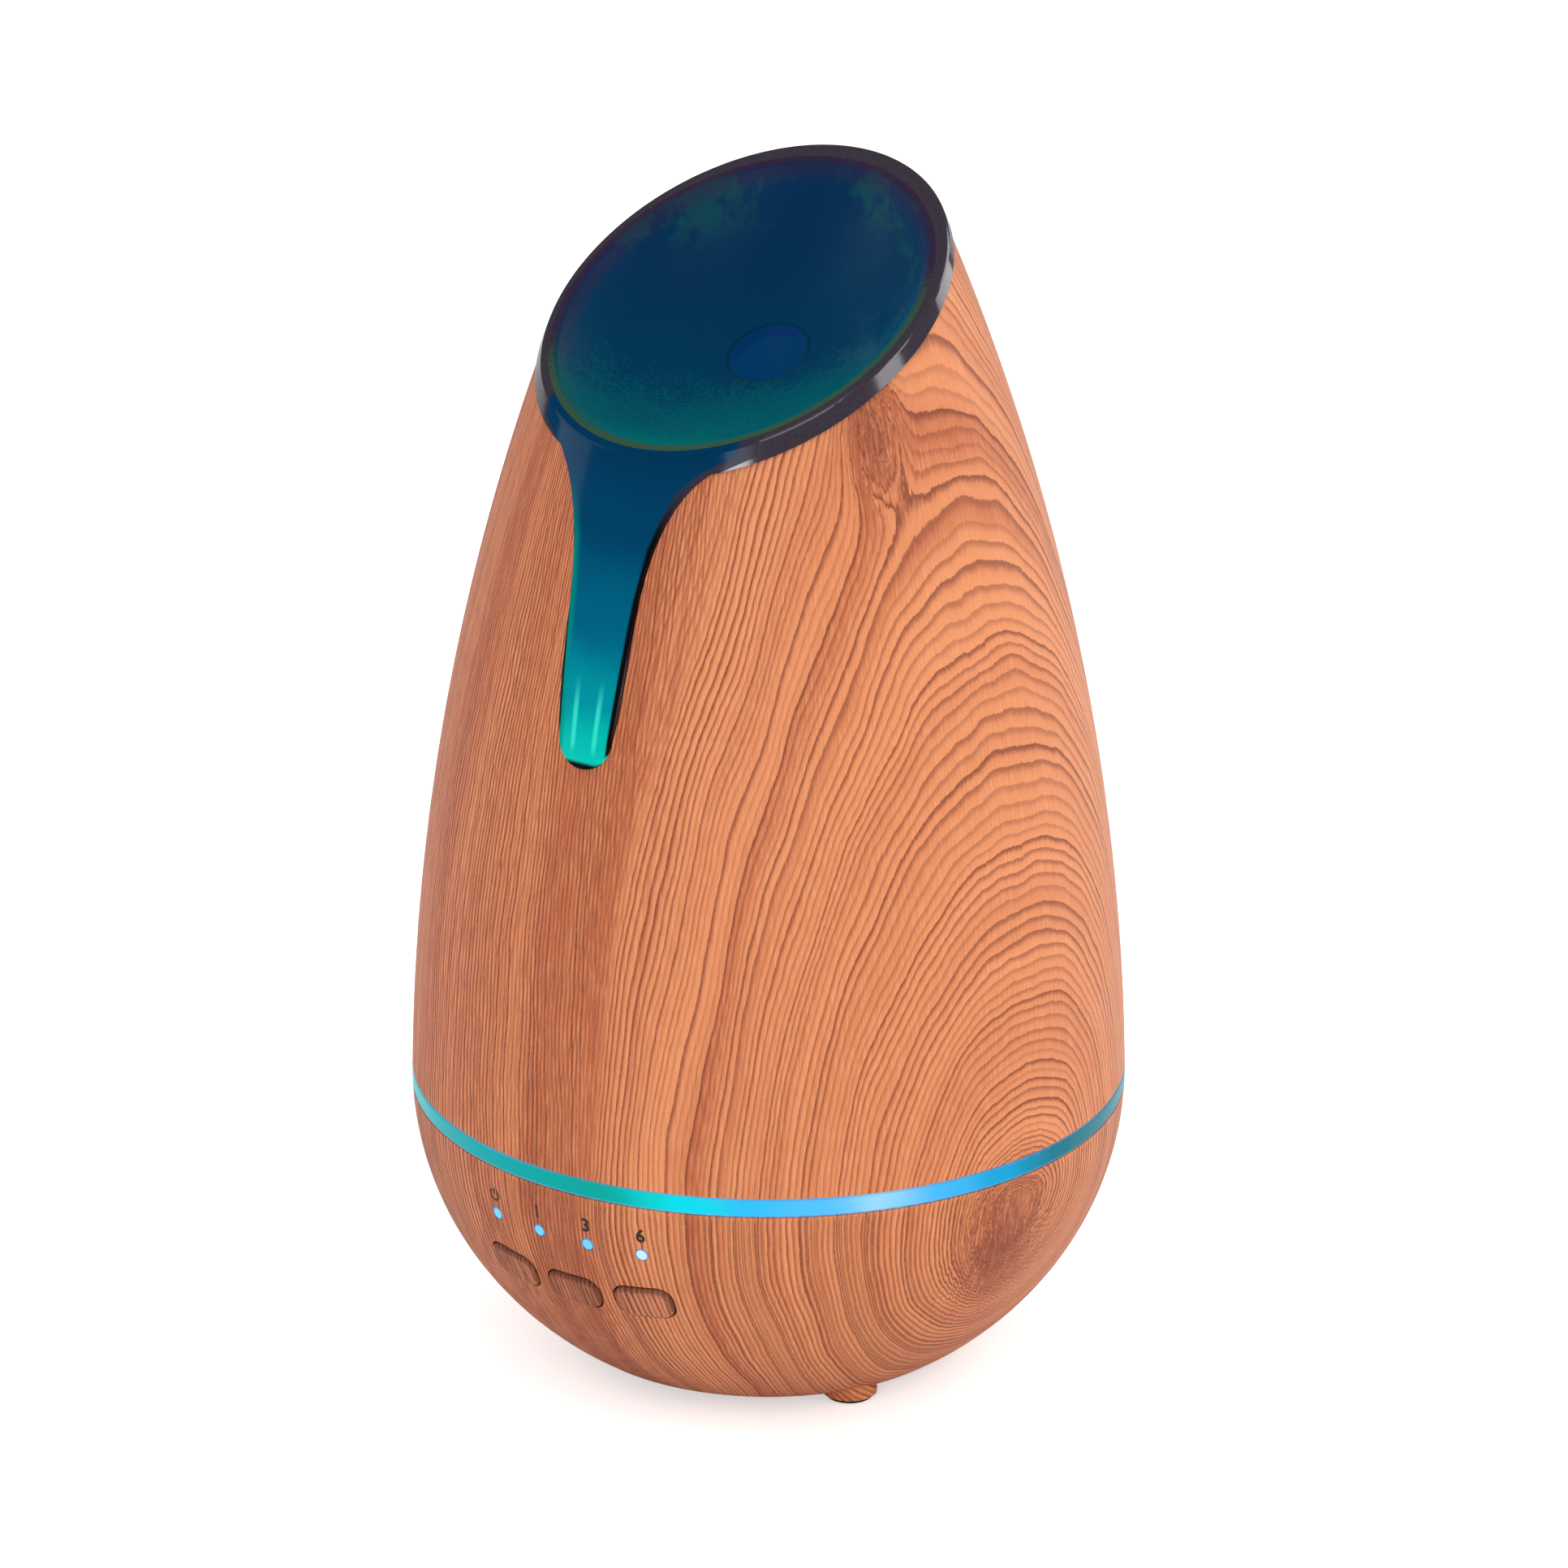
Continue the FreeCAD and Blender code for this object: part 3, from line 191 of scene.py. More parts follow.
class Shader:
    """A node material; each method adds a node and hands back its output."""

    def __init__(self, name):
        self.material = bpy.data.materials.new(name)
        self.material.use_nodes = True
        self.tree = self.material.node_tree
        self.surface = self.tree.nodes["Principled BSDF"]

    def node(self, kind, **settings):
        node = self.tree.nodes.new(kind)
        for name, value in settings.items():
            setattr(node, name, value)
        return node

    def link(self, value, plug):
        if isinstance(value, Value):
            value = value.socket
        if isinstance(value, bpy.types.NodeSocket):
            self.tree.links.new(value, plug)
        elif isinstance(value, tuple):
            plug.default_value = value + (1,)
        else:
            plug.default_value = value

    def set(self, name, value):
        self.link(value, self.surface.inputs[name])

    def place(self):
        """X, Y and Z of the shaded point in the part's own frame, in millimetres."""
        coordinates = self.node("ShaderNodeTexCoord").outputs["Object"]
        split = self.node("ShaderNodeSeparateXYZ")
        self.tree.links.new(coordinates, split.inputs[0])
        return [Value(self, plug) * 1000.0 for plug in split.outputs]

    def vector(self, x, y, z):
        node = self.node("ShaderNodeCombineXYZ")
        for value, plug in zip((x, y, z), node.inputs):
            self.link(value, plug)
        return node.outputs[0]

    def noise(self, vector, scale, detail, rough=0.5):
        node = self.node("ShaderNodeTexNoise")
        self.link(vector, node.inputs["Vector"])
        for value, name in zip((scale, detail, rough), ("Scale", "Detail", "Roughness")):
            node.inputs[name].default_value = value
        return Value(self, node.outputs["Fac"])

    def random(self, number):
        """Fixed random value from 0 to 1 for each whole number."""
        node = self.node("ShaderNodeTexWhiteNoise", noise_dimensions="1D")
        self.link(number, node.inputs["W"])
        return Value(self, node.outputs["Value"])

    def mix(self, factor, first, second):
        node = self.node("ShaderNodeMix", data_type="RGBA", clamp_factor=True)
        self.link(factor, node.inputs["Factor"])
        plugs = [plug for plug in node.inputs if plug.type == "RGBA"]
        self.link(first, plugs[0])
        self.link(second, plugs[1])
        return [plug for plug in node.outputs if plug.type == "RGBA"][0]

    def ramp(self, factor, *stops):
        """Colour from (place, colour) stops."""
        node = self.node("ShaderNodeValToRGB")
        self.link(factor, node.inputs[0])
        band = node.color_ramp
        band.interpolation = "EASE"
        band.elements[0].position, band.elements[1].position = stops[0][0], stops[-1][0]
        band.elements[0].color, band.elements[1].color = stops[0][1] + (1,), stops[-1][1] + (1,)
        for position, colour in stops[1:-1]:
            band.elements.new(position).color = colour + (1,)
        return node.outputs[0]

    def bump(self, height, strength, distance):
        node = self.node("ShaderNodeBump")
        self.link(height, node.inputs["Height"])
        node.inputs["Strength"].default_value = strength
        node.inputs["Distance"].default_value = distance
        self.tree.links.new(node.outputs[0], self.surface.inputs["Normal"])


def srgb(red, green, blue):
    """Linear colour of an 8-bit display colour."""
    return tuple(c / 12.92 if c <= 0.04045 else ((c + 0.055) / 1.055) ** 2.4
                 for c in (v / 255 for v in (red, green, blue)))


def azimuth_of(x, y):
    """Angle round the body in radians; 0 is the front and +X is positive."""
    return x.atan2(-y)


# ---------------------------------------------------------------- printed wood grain

GRAIN_AZIMUTH = 81.0          # the cathedral arches nest round this meridian
GRAIN_Z = 46.0                # the arches' common centre
GRAIN_R = 62.0                # mm of print per radian
ARCH_RISE = 3.6               # size of the arches above the centre
ARCH_BEND = 0.6               # 1 spaces them evenly; less draws them apart going up
ARCH_SOFT = 4.0               # keeps the first arches above the centre apart
ARCH_FALL = 0.95              # mm of ring per mm going down round the bowl
ARCH_POWER = 2.25             # 2 is an ellipse; more gives squarer shoulders
STRAIGHT_FROM = (76.0, 88.0)  # ring depths between which straight fine lines take over from the arches

# Spacing of the growth lines, the straight fine lines and the extra lines on the bowl.
GROWTH_PITCH, FINE_PITCH, BOWL_PITCH = 1.02, 0.95, 1.0
GROWTH_SPREAD = 2.6           # number of growth lines that their spacing wanders by
BOWL_TOP_Z = 50.0
# How far the lines stray from their course: the slow sway, the ripples and the jags.
GROWTH_SWAY, GROWTH_RIPPLE, GROWTH_JAG = 16.0, 1.5, 0.25
FINE_SWAY, FINE_RIPPLE, FINE_JAG = 14.0, 2.5, 0.25
# Where in its period a line starts to darken, is darkest, and starts to fade.
GROWTH_START, FINE_START, LINE_PEAK, GROWTH_FADE, FINE_FADE = 0.42, 0.35, 0.88, 0.92, 0.88
SHADE_START, SHADE_FADE = 0.1, 0.90               # the same of the shade that leads up to a growth line
# Darkness of the palest and of the darkest line of a kind, and of the palest and the darkest shade.
GROWTH_DARK, FINE_DARK, BOWL_DARK, SHADE_DARK = (0.30, 0.95), (0.45, 1.0), (0.6, 1.1), (0.1, 0.6)
# Share of the lines that is left among the arches and on the straight side.
GROWTH_SHARE, FINE_SHARE = (1.0, 0.5), (0.12, 1.22)

# Knots: azimuth, height, reach, and how far they draw the lines in.
KNOTS = ((60.0, 185.0, 7.0, -12.0), (75.0, 38.0, 8.0, -7.0))
KNOT_SLIM = 0.7               # width of a knot over its height
KNOT_JAG = 7.0                # jags in a knot's heart
KNOT_BLOTCHES = (1.25, 2.5)   # how dark a knot is, and how much its blotches vary that
KNOT_TINT = (0.5, 2.2)        # the same for its share of the knot colour
# Broad dark bands: azimuth, half width and strength; the band at -38 degrees is painted shade along the
# body's left edge as the camera sees it, the others are grain tone.
DARK_GRAIN_AND_SHADE_BANDS = ((5.4, 2.2, 0.6), (-5.0, 2.6, 0.7), (0.0, 8.0, 0.35), (-20.0, 6.0, 0.15), (-38.0, 4.5, 1.0),
              (12.0, 0.6, 0.5), (-62.0, 7.0, 0.6), (128.0, 9.0, 0.5), (150.0, 4.0, 0.6),
              (-120.0, 8.0, 0.6), (-90.0, 5.0, 0.4), (176.0, 6.0, 0.5))
BAND_SWAY, BAND_LEAN = 8.0, 0.06                  # the slow sway, and mm that a band leans per mm of rise
# Dark growth bands: ring depth, half width and strength.
GROWTH_BANDS = ((61.5, 1.4, 0.9), (57.0, 0.7, 0.5), (48.0, 1.2, 0.35), (33.0, 1.6, 0.35))

# How much the clouds, the bands and the straight side each darken the wood.
CLOUD_TONE, BAND_TONE, STRAIGHT_TONE = 0.38, 0.75, 0.34
CLOUD_EDGE, GRIT_GAPS = (0.38, 0.70), (0.30, 0.60)          # soft edges of the clouds, and of gaps in lines
GAP_DARK = 0.6                # share of a line that is left in its gaps
FIBRE_MIX = (0.08, 1.9)       # share of the fibre colour, and how much the fibres vary it
GRIT_MIX = (0.46, 1.8)        # grit below this shows as specks, and how strongly
GRIT_HEIGHT = 0.4             # of the grit over the depth of a line, in the relief
LINE_MIX = 0.92               # of the line colour in the darkest line
WOOD_ROUGHNESS = (0.44, 0.60)      # between the lines and on them
WOOD_COLOURS = (srgb(228, 143, 92), srgb(188, 98, 57), srgb(116, 47, 27))    # light, middle and line
KEY_COLOURS = (srgb(212, 130, 86), srgb(170, 88, 54), srgb(84, 34, 20))
FIBRE_COLOUR, KNOT_COLOUR = srgb(240, 164, 116), srgb(140, 66, 40)

# The keys: their spacing, size and corner, their place, and the slope of their plane.
KEY_STEP, KEY_W, KEY_H, KEY_CORNER = 14.0, 10.8, 6.8, 2.6
KEY_Z, KEY_FRONT, KEY_SLOPE = 29.7, 60.4, math.radians(23.0)
KEY_SHOULDER = (-1.2, -0.1)   # distances from a key's outline between which the painted shade on its shoulder begins
KEY_UPPER = (-0.6, 1.6)       # heights on a key between which the painted shade on its upper side begins
KEY_LEAN = 0.45               # how far that side leans to the right, in mm per mm
KEY_PAINTED_SHADE = 0.7               # of the line colour in the painted shade on the shoulder


def grain_line(s, place, start, fade):
    """Thin dark line and a random weight, once per whole number of place."""
    part = place.fract()
    return part.step(start, LINE_PEAK) * part.step(fade, 1.0, 1.0, 0.0), s.random(place.floor())


def late_wood(place):
    """Soft shade that darkens towards each growth line and stops at it."""
    part = place.fract()
    return part.step(SHADE_START, LINE_PEAK) * part.step(SHADE_FADE, 1.0, 1.0, 0.0)


def painted_key_shade(x, y, z):
    """Painted shade: 1 on the upper and right-hand shoulders of each key, where the gap round it shades
    them, and 0 on its face, in the plane of the keys.
    """
    side = x - (x * (1 / KEY_STEP) + 0.5).floor() * KEY_STEP
    up = (z - KEY_Z) * math.cos(KEY_SLOPE) - (y + KEY_FRONT) * math.sin(KEY_SLOPE)
    past_side, past_up = ((value.abs() - (half - KEY_CORNER)).max(0.0)
                          for value, half in ((side, KEY_W / 2), (up, KEY_H / 2)))
    from_outline = (past_side.squared() + past_up.squared()).sqrt() - KEY_CORNER
    return from_outline.step(*KEY_SHOULDER) * (side * KEY_LEAN + up).step(*KEY_UPPER)


def wood(name, colours=WOOD_COLOURS, painted_shade=0.0):
    """Printed softwood: cathedral arches on one side, straight close lines on the other, two knots."""
    light, middle, dark = colours
    s = Shader(name)
    x, y, z = s.place()
    turn = azimuth_of(x, y) - math.radians(GRAIN_AZIMUTH)
    across = turn.sin().atan2(turn.cos()) * GRAIN_R
    rise = z - GRAIN_Z
    # Each noise is stretched along the grain by the factors on its coordinates.
    sway = s.noise(s.vector(x, y, z * 0.35), scale=0.020, detail=2.0) - 0.5
    ripple = s.noise(s.vector(x, y, z * 0.5), scale=0.10, detail=2.0) - 0.5
    jag = s.noise(s.vector(across * 2.4, z * 0.5, 11.0), scale=0.6, detail=2.0) - 0.5

    # Ring depth: distance from the arches' centre, stretched upwards, wavy, and drawn in at the knots.
    above = ((rise.max(0.0) + ARCH_SOFT) ** ARCH_BEND - ARCH_SOFT ** ARCH_BEND) * ARCH_RISE
    tall = above + (-rise).max(0.0) * ARCH_FALL
    wide = (across + sway * GROWTH_SWAY).abs()
    depth = (wide ** ARCH_POWER + tall ** ARCH_POWER) ** (1 / ARCH_POWER)
    depth = depth + ripple * GROWTH_RIPPLE + jag * GROWTH_JAG
    hearts = []
    for azimuth, knot_z, reach, pull in KNOTS:
        side = across - math.radians(azimuth - GRAIN_AZIMUTH) * GRAIN_R
        up = (z - knot_z) * KNOT_SLIM
        hearts.append((side.squared() + up.squared()).sqrt().hump(reach))
        depth = depth + hearts[-1] * (jag * KNOT_JAG + pull)
    knots = sum(hearts[1:], hearts[0])
    straight = depth.step(*STRAIGHT_FROM)

    # Growth lines, the straight fine lines, and the extra lines on the bowl; grit breaks them all up.
    spread = s.noise(s.vector(depth, 0.0, 5.0), scale=0.16, detail=1.0) * GROWTH_SPREAD
    place = depth / GROWTH_PITCH + spread
    ring, weight = grain_line(s, place, GROWTH_START, GROWTH_FADE)
    ring = ring * weight.between(*GROWTH_DARK) * straight.between(*GROWTH_SHARE)
    shade = late_wood(place) * weight.between(*SHADE_DARK)
    upright = across + sway * FINE_SWAY + ripple * FINE_RIPPLE + jag * FINE_JAG
    fine, weight = grain_line(s, upright / FINE_PITCH, FINE_START, FINE_FADE)
    fine = fine * weight.between(*FINE_DARK) * straight.between(*FINE_SHARE)
    close, weight = grain_line(s, depth / BOWL_PITCH, FINE_START, FINE_FADE)
    close = close * weight.between(*BOWL_DARK) * z.step(BOWL_TOP_Z + 1, BOWL_TOP_Z - 1)
    grit = s.noise(s.vector(across * 4.5, z * 1.1, 7.0), scale=1.0, detail=2.0, rough=0.6)
    lines = ring.max(close).max(fine) * grit.step(*GRIT_GAPS, GAP_DARK, 1.0)

    # Tone, 0 light and 1 middle: clouds along the grain, knots and bands (one of them painted shade on the
    # left edge), late wood, the straight side.
    dark_knot, blotches = KNOT_BLOTCHES
    bands = knots * (jag * blotches + dark_knot)
    for azimuth, half_width, strength in DARK_GRAIN_AND_SHADE_BANDS:
        off = across - math.radians(azimuth - GRAIN_AZIMUTH) * GRAIN_R + sway * BAND_SWAY - rise * BAND_LEAN
        bands = bands + off.hump(half_width) * strength
    for ring_depth, half_width, strength in GROWTH_BANDS:
        bands = bands + (depth - ring_depth).hump(half_width) * strength
    cloud = s.noise(s.vector(depth * 0.16, z * 0.010, 3.0), scale=1.0, detail=2.0, rough=0.55)
    tone = cloud.step(*CLOUD_EDGE) * CLOUD_TONE + bands * BAND_TONE + shade + straight * STRAIGHT_TONE

    fibre = s.noise(s.vector(across * 2.6, z * 0.16, 0.0), scale=1.0, detail=3.0, rough=0.6)
    base = s.mix(tone, light, middle)
    share, variation = FIBRE_MIX
    base = s.mix((fibre - 0.5) * variation + share, base, FIBRE_COLOUR)
    most, strength = GRIT_MIX
    base = s.mix((grit - most) * -strength, base, middle)
    share, variation = KNOT_TINT
    base = s.mix(knots * (jag * variation + share), base, KNOT_COLOUR)
    colour = s.mix(lines * LINE_MIX, base, dark)
    # Painted shade on the keys' upper and right-hand shoulders.
    if painted_shade:
        colour = s.mix(painted_key_shade(x, y, z) * painted_shade, colour, dark)
    s.set("Base Color", colour)
    s.set("Roughness", lines.between(*WOOD_ROUGHNESS))
    s.set("Specular IOR Level", 0.35)
    s.bump(grit * GRIT_HEIGHT - lines, strength=0.5, distance=0.0003)
    return s.material


# ---------------------------------------------------------------- lit and glossy plastics

# The dish: an ellipsoid let into the slanted cut, measured along the cut's plane and square to it.
SLANT = math.radians(28.4)    # tilt of the dish's rim
CUT_Z = 200.4                 # height of the cover's slanted cut on the body's axis
LIP_H = 2.6                   # thickness of the dish's rim
DISH_RISE = 10.0              # from the rim up to the ellipsoid's centre
DISH_DEPTH = 14.8             # from the rim down to the dish's lowest point
DISH_HALF_X, DISH_HALF_SLOPE = 32.6, 36.2
DISH_CENTRE = 8.2             # from the body's axis downhill to the dish's middle
HOLE_DOWNHILL = 6.4           # from the body's axis downhill to the hole's middle
HOLE_R = 7.5                  # out to the hole's rounded edge
# Values of the ellipsoid, 1 on the dish's surface: in the hole, on the brim, and past it.
IN_HOLE, ON_BRIM, PAST_BRIM = (1.0005, 1.002), (1.004, 1.012), (1.033, 1.038)

# Place among the dish's colours: at its middle, per mm downhill, per mm of X, by mottles and by speckles.
DISH_MIDDLE, DISH_PER_DOWN, DISH_PER_X, DISH_MOTTLE, DISH_SPECKLE = 0.43, 0.0140, 0.007, 0.35, 0.55
# Patches: reach from the dish's middle (1 at the rim), distance downhill, mottles that they fill, strength.
PATCH_REACH, PATCH_DOWN, PATCH_MOTTLE, PATCH_MIX = (0.74, 0.92), (5.0, -14.0), (0.49, 0.58), 0.55
# Painted sheen, a reflection on the dish's right side: X, its middle line uphill, half width, mottles that
# it fills, strength.
SHEEN_X, SHEEN_UP, SHEEN_HALF, SHEEN_MOTTLE, SHEEN_MIX = (8.0, 26.0), 6.0, (14.0, 2.0), (0.38, 0.62), 0.55
# Where the tints of the edges turn from uphill to downhill ones: mm of slope per mm of X, raggedness, place.
NEAR_LEAN, NEAR_RAGGED, NEAR_SIDE = 0.5, 20.0, (-2.0, 12.0)
INNER_REACH, INNER_MIX = (0.93, 0.985), 0.45
BRIM_MIX = (0.72, 1.6)        # strength of the brim's tint, and how much the speckles vary it
HOLE_HALF, HOLE_MIX = (0.55, 0.05), 0.6           # half width and strength of the hole's edge
BORE_EDGE = (-0.15, -0.45)    # from the hole's edge to inside the bore
BORE_SIDES = (-4.0, -7.2)     # from the bore's downhill to its uphill wall

# Colours of the dish from uphill to downhill, of its patches and of its painted sheen.
DISH_COLOURS = ((0.0, srgb(2, 44, 80)), (0.42, srgb(2, 52, 84)), (0.68, srgb(2, 80, 92)),
                (1.0, srgb(4, 104, 96)))
PATCH_COLOUR, PAINTED_SHEEN_COLOUR = srgb(16, 76, 76), srgb(38, 72, 96)
# Colours on the uphill and the downhill side: inner edge, brim and hole's edge.
INNER_COLOURS = (srgb(44, 30, 62), srgb(30, 76, 66))
BRIM_COLOURS = (srgb(56, 34, 56), srgb(62, 78, 52))
HOLE_COLOURS = (srgb(2, 34, 62), srgb(34, 62, 54))
BORE_COLOURS = (srgb(2, 46, 92), srgb(12, 44, 96))          # downhill and uphill wall of the bore
RIM_COLOURS = (srgb(56, 52, 61), srgb(52, 30, 48))          # the rim's two mottles
RIM_MIX = (0.2, 2.0)          # share of the second one, and how much the speckles vary it

TIP_Z = 126.9                 # bottom end of the drip
DRIP_H = 56.0                 # from its tip up to where its colours end under the dish's rim
# Height and half width of the drip's outline, from low to high.
DRIP_WIDTHS = ((132.2, 5.3), (156.0, 6.9), (165.0, 8.2), (170.0, 9.9), (175.0, 12.4), (178.5, 16.4),
               (181.6, 22.0))
DRIP_MOTTLE = 0.12            # of the drip's colours that the mottles vary
# Two streaks of painted highlight on the drip's ribs: place and half width as shares of the drip's half
# width, strength, upper and lower end.
STREAK_AT, STREAK_HALF, STREAK_MIX = 0.42, (0.13, 0.03), 0.7
STREAK_TOP, STREAK_END = (143.0, 136.0), (129.0, 131.5)
# Left side: share of the half width, upper end, strength.
LEFT_SIDE, LEFT_TOP, LEFT_MIX = (-0.74, -0.94), (176.0, 160.0), 0.75
# Border, the drip's own dark edge with a painted gap shadow on the right and below: share of the half width
# on the right and on the left, and mm above the tip.
BORDER_RIGHT, BORDER_LEFT, BORDER_LOW = (0.84, 0.92), (-0.97, -1.0), (1.5, 0.7)
BORDER_Z = (166.0, 178.0)     # heights between which the border turns from its low to its high colour
# Spout between the drip and the dish: Y, mm past the drip's outline, value of the dish's ellipsoid.
SPOUT_Y, SPOUT_EDGE, SPOUT_VALUE = (-12.0, -13.0), (0.4, 0.0), (1.0, 1.012)
# Colours of the drip from its tip up, of its two painted highlight streaks, of its left side, and of its
# border (dark edge and painted shadow) low and high.
DRIP_COLOURS = ((0.0, srgb(2, 205, 185)), (0.08, srgb(2, 190, 178)), (0.22, srgb(1, 146, 160)),
                (0.45, srgb(1, 96, 128)), (0.75, srgb(1, 64, 100)), (1.0, srgb(2, 52, 86)))
PAINTED_HIGHLIGHT_COLOUR, LEFT_COLOUR = srgb(60, 240, 214), srgb(0, 140, 126)
DARK_EDGE_AND_SHADOW_COLOURS = (srgb(10, 10, 14), srgb(58, 50, 62))

# What glows is nearly metal, so that its near black base colour gives dark reflections; the bore is less so.
GLOWING_METAL, BORE_DULL = 0.93, 0.2
# Base colours under a glow, near black so that the glow alone gives the colour.
SMOKED_BASE, RING_BASE = (0.001, 0.003, 0.004), (0.001, 0.004, 0.005)
TUBE_BASE, ROD_BASE = (0.002, 0.004, 0.008), (0.02, 0.05, 0.08)

LIGHT_AZIMUTHS = (-14.2, -4.7, 4.7, 14.2)
LIGHT_ORBIT_R = 63.9          # the bowl's radius at the timer lights
LIGHT_Z = 41.0
LAST_LIGHT_X = (9.0, 13.0)    # between the third light and the last
LAST_LIGHT_MIX = 0.8          # of its own colour in the last light
ROD_EDGE = (0.82, 1.12)       # distances from a light's middle between which its edge begins
# Colours of the lights' middle, of the last one's middle, and of their edge.
ROD_COLOURS = (srgb(104, 208, 246), srgb(222, 243, 252), srgb(18, 136, 208))

TUBE_Z, TUBE_HAZE = (150.0, 186.0), 0.6           # its height, and how much the haze varies its colour
TUBE_COLOURS = (srgb(1, 40, 100), srgb(2, 52, 92))          # at its bottom and top

# Azimuth and colour of the light ring, all the way round.
RING_COLOURS = ((-180, (0, 160, 175)), (-60, (0, 170, 178)), (-14, (3, 167, 172)), (8, (0, 170, 160)),
                (16, (0, 212, 212)), (22, (0, 224, 240)), (30, (50, 196, 252)), (42, (84, 198, 254)),
                (52, (156, 222, 255)), (62, (70, 190, 254)), (74, (20, 168, 220)), (88, (0, 120, 135)),
                (180, (0, 160, 175)))
RING_HAZE = 0.02              # of a turn that the haze shifts the colours by
RING_EDGE = (1.15, 1.7)       # heights from the ring's middle between which its edge begins
RING_EDGE_METAL = (0.9, 0.0)  # metallic inside the edges and on them
RING_EDGE_MIX = (0.5, 0.6)    # of the edge's base colour and glow
RING_EDGE_BASE, RING_EDGE_GLOW = srgb(120, 104, 150), srgb(84, 104, 172)


def dish_place(x, y, z):
    """Distance downhill from the dish's middle, and the ellipsoid's value (1 on the dish's surface)."""
    over = z - CUT_Z
    lift = over * math.cos(SLANT) - y * math.sin(SLANT)
    down = y * -math.cos(SLANT) - over * math.sin(SLANT) - DISH_CENTRE
    height = DISH_RISE + DISH_DEPTH
    share = math.sqrt(1 - (DISH_RISE / height) ** 2)
    above = lift - (LIP_H + DISH_RISE)
    value = ((x * (share / DISH_HALF_X)).squared() + (down * (share / DISH_HALF_SLOPE)).squared()
             + (above / height).squared()).sqrt()
    return down, value


def dish_colour(s, x, down, value, mottle, speckle):
    """Navy uphill to teal downhill, a painted sheen on the right, a tinted brim, and the hole; also 1 inside
    the hole.
    """
    place = down * DISH_PER_DOWN + x * DISH_PER_X + DISH_MIDDLE
    dish = s.ramp(place + (mottle - 0.5) * DISH_MOTTLE + speckle * DISH_SPECKLE, *DISH_COLOURS)

    reach = ((x / DISH_HALF_X).squared() + (down / DISH_HALF_SLOPE).squared()).sqrt()
    patches = reach.step(*PATCH_REACH) * down.step(*PATCH_DOWN) * mottle.step(*PATCH_MOTTLE)
    dish = s.mix(patches * PATCH_MIX, dish, PATCH_COLOUR)
    # Painted reflection on the right side of the dish.
    sheen = x.step(*SHEEN_X) * (down + SHEEN_UP).abs().step(*SHEEN_HALF) * mottle.step(*SHEEN_MOTTLE)
    dish = s.mix(sheen * SHEEN_MIX, dish, PAINTED_SHEEN_COLOUR)

    near = (down + x * NEAR_LEAN + speckle * NEAR_RAGGED).step(*NEAR_SIDE)
    dish = s.mix(reach.step(*INNER_REACH) * INNER_MIX, dish, s.mix(near, *INNER_COLOURS))
    share, variation = BRIM_MIX
    brim = value.step(*ON_BRIM) * (speckle * variation + share)
    dish = s.mix(brim, dish, s.mix(near, *BRIM_COLOURS))

    off_hole = down + (DISH_CENTRE - HOLE_DOWNHILL)
    from_edge = (x.squared() + off_hole.squared()).sqrt() - HOLE_R
    dish = s.mix(from_edge.abs().step(*HOLE_HALF) * HOLE_MIX, dish, s.mix(near, *HOLE_COLOURS))
    bore = from_edge.step(*BORE_EDGE) * value.step(*IN_HOLE)
    return s.mix(bore, dish, s.mix(off_hole.step(*BORE_SIDES), *BORE_COLOURS)), bore


def drip_half_width(z):
    """Half width of the drip's outline at height z, straight between the listed heights."""
    parts = [((z - low_z) / (high_z - low_z)).max(0.0).min(1.0) * (high - low)
             for (low_z, low), (high_z, high) in zip(DRIP_WIDTHS, DRIP_WIDTHS[1:])]
    return sum(parts[1:], parts[0] + DRIP_WIDTHS[0][1])


def drip_colour(s, side, z, mottle):
    """Teal at the tip to navy at the rim, two streaks of painted highlight, a dark border that is partly
    painted shadow; side is -1 to 1 across it.
    """
    drip = s.ramp((z - TIP_Z) / DRIP_H + (mottle - 0.5) * DRIP_MOTTLE, *DRIP_COLOURS)
    # Painted highlights where light catches the drip's two ribs.
    streaks = (side.abs() - STREAK_AT).abs().step(*STREAK_HALF) * z.step(*STREAK_TOP) * z.step(*STREAK_END)
    drip = s.mix(streaks * STREAK_MIX, drip, PAINTED_HIGHLIGHT_COLOUR)
    drip = s.mix(side.step(*LEFT_SIDE) * z.step(*LEFT_TOP) * LEFT_MIX, drip, LEFT_COLOUR)
    # The drip's dark edge, darkened further by painted gap shadow on the right and below.
    border = side.step(*BORDER_RIGHT).max(side.step(*BORDER_LEFT)).max((z - TIP_Z).step(*BORDER_LOW))
    return s.mix(border, drip, s.mix(z.step(*BORDER_Z), *DARK_EDGE_AND_SHADOW_COLOURS))


def smoked_glow(name):
    """Dark see-through plastic lit from inside: navy to teal in the dish, brightest at the drip's tip."""
    s = Shader(name)
    x, y, z = s.place()
    mottle = s.noise(s.vector(x, y, z), scale=0.07, detail=4.0, rough=0.65)
    speckle = s.noise(s.vector(x, y, z), scale=1.3, detail=3.0, rough=0.75) - 0.5
    down, value = dish_place(x, y, z)
    dish, bore = dish_colour(s, x, down, value, mottle, speckle)
    bowl = value.step(*PAST_BRIM, 1.0, 0.0).max(bore)
    half_width = drip_half_width(z)
    drip = drip_colour(s, x / half_width, z, mottle)
    spout = y.step(*SPOUT_Y) * (x.abs() - half_width).step(*SPOUT_EDGE) * value.step(*SPOUT_VALUE)
    glowing = (bowl + spout).min(1.0)
    share, variation = RIM_MIX
    rim = s.mix(speckle * variation + share, *RIM_COLOURS)
    s.set("Base Color", s.mix(glowing, rim, SMOKED_BASE))
    s.set("Metallic", glowing * GLOWING_METAL - bore * BORE_DULL)
    s.set("Emission Color", s.mix(bowl, drip, dish))
    s.set("Emission Strength", glowing)
    s.set("Roughness", bowl.between(0.12, 0.42))
    s.set("Specular IOR Level", 0.9)
    return s.material


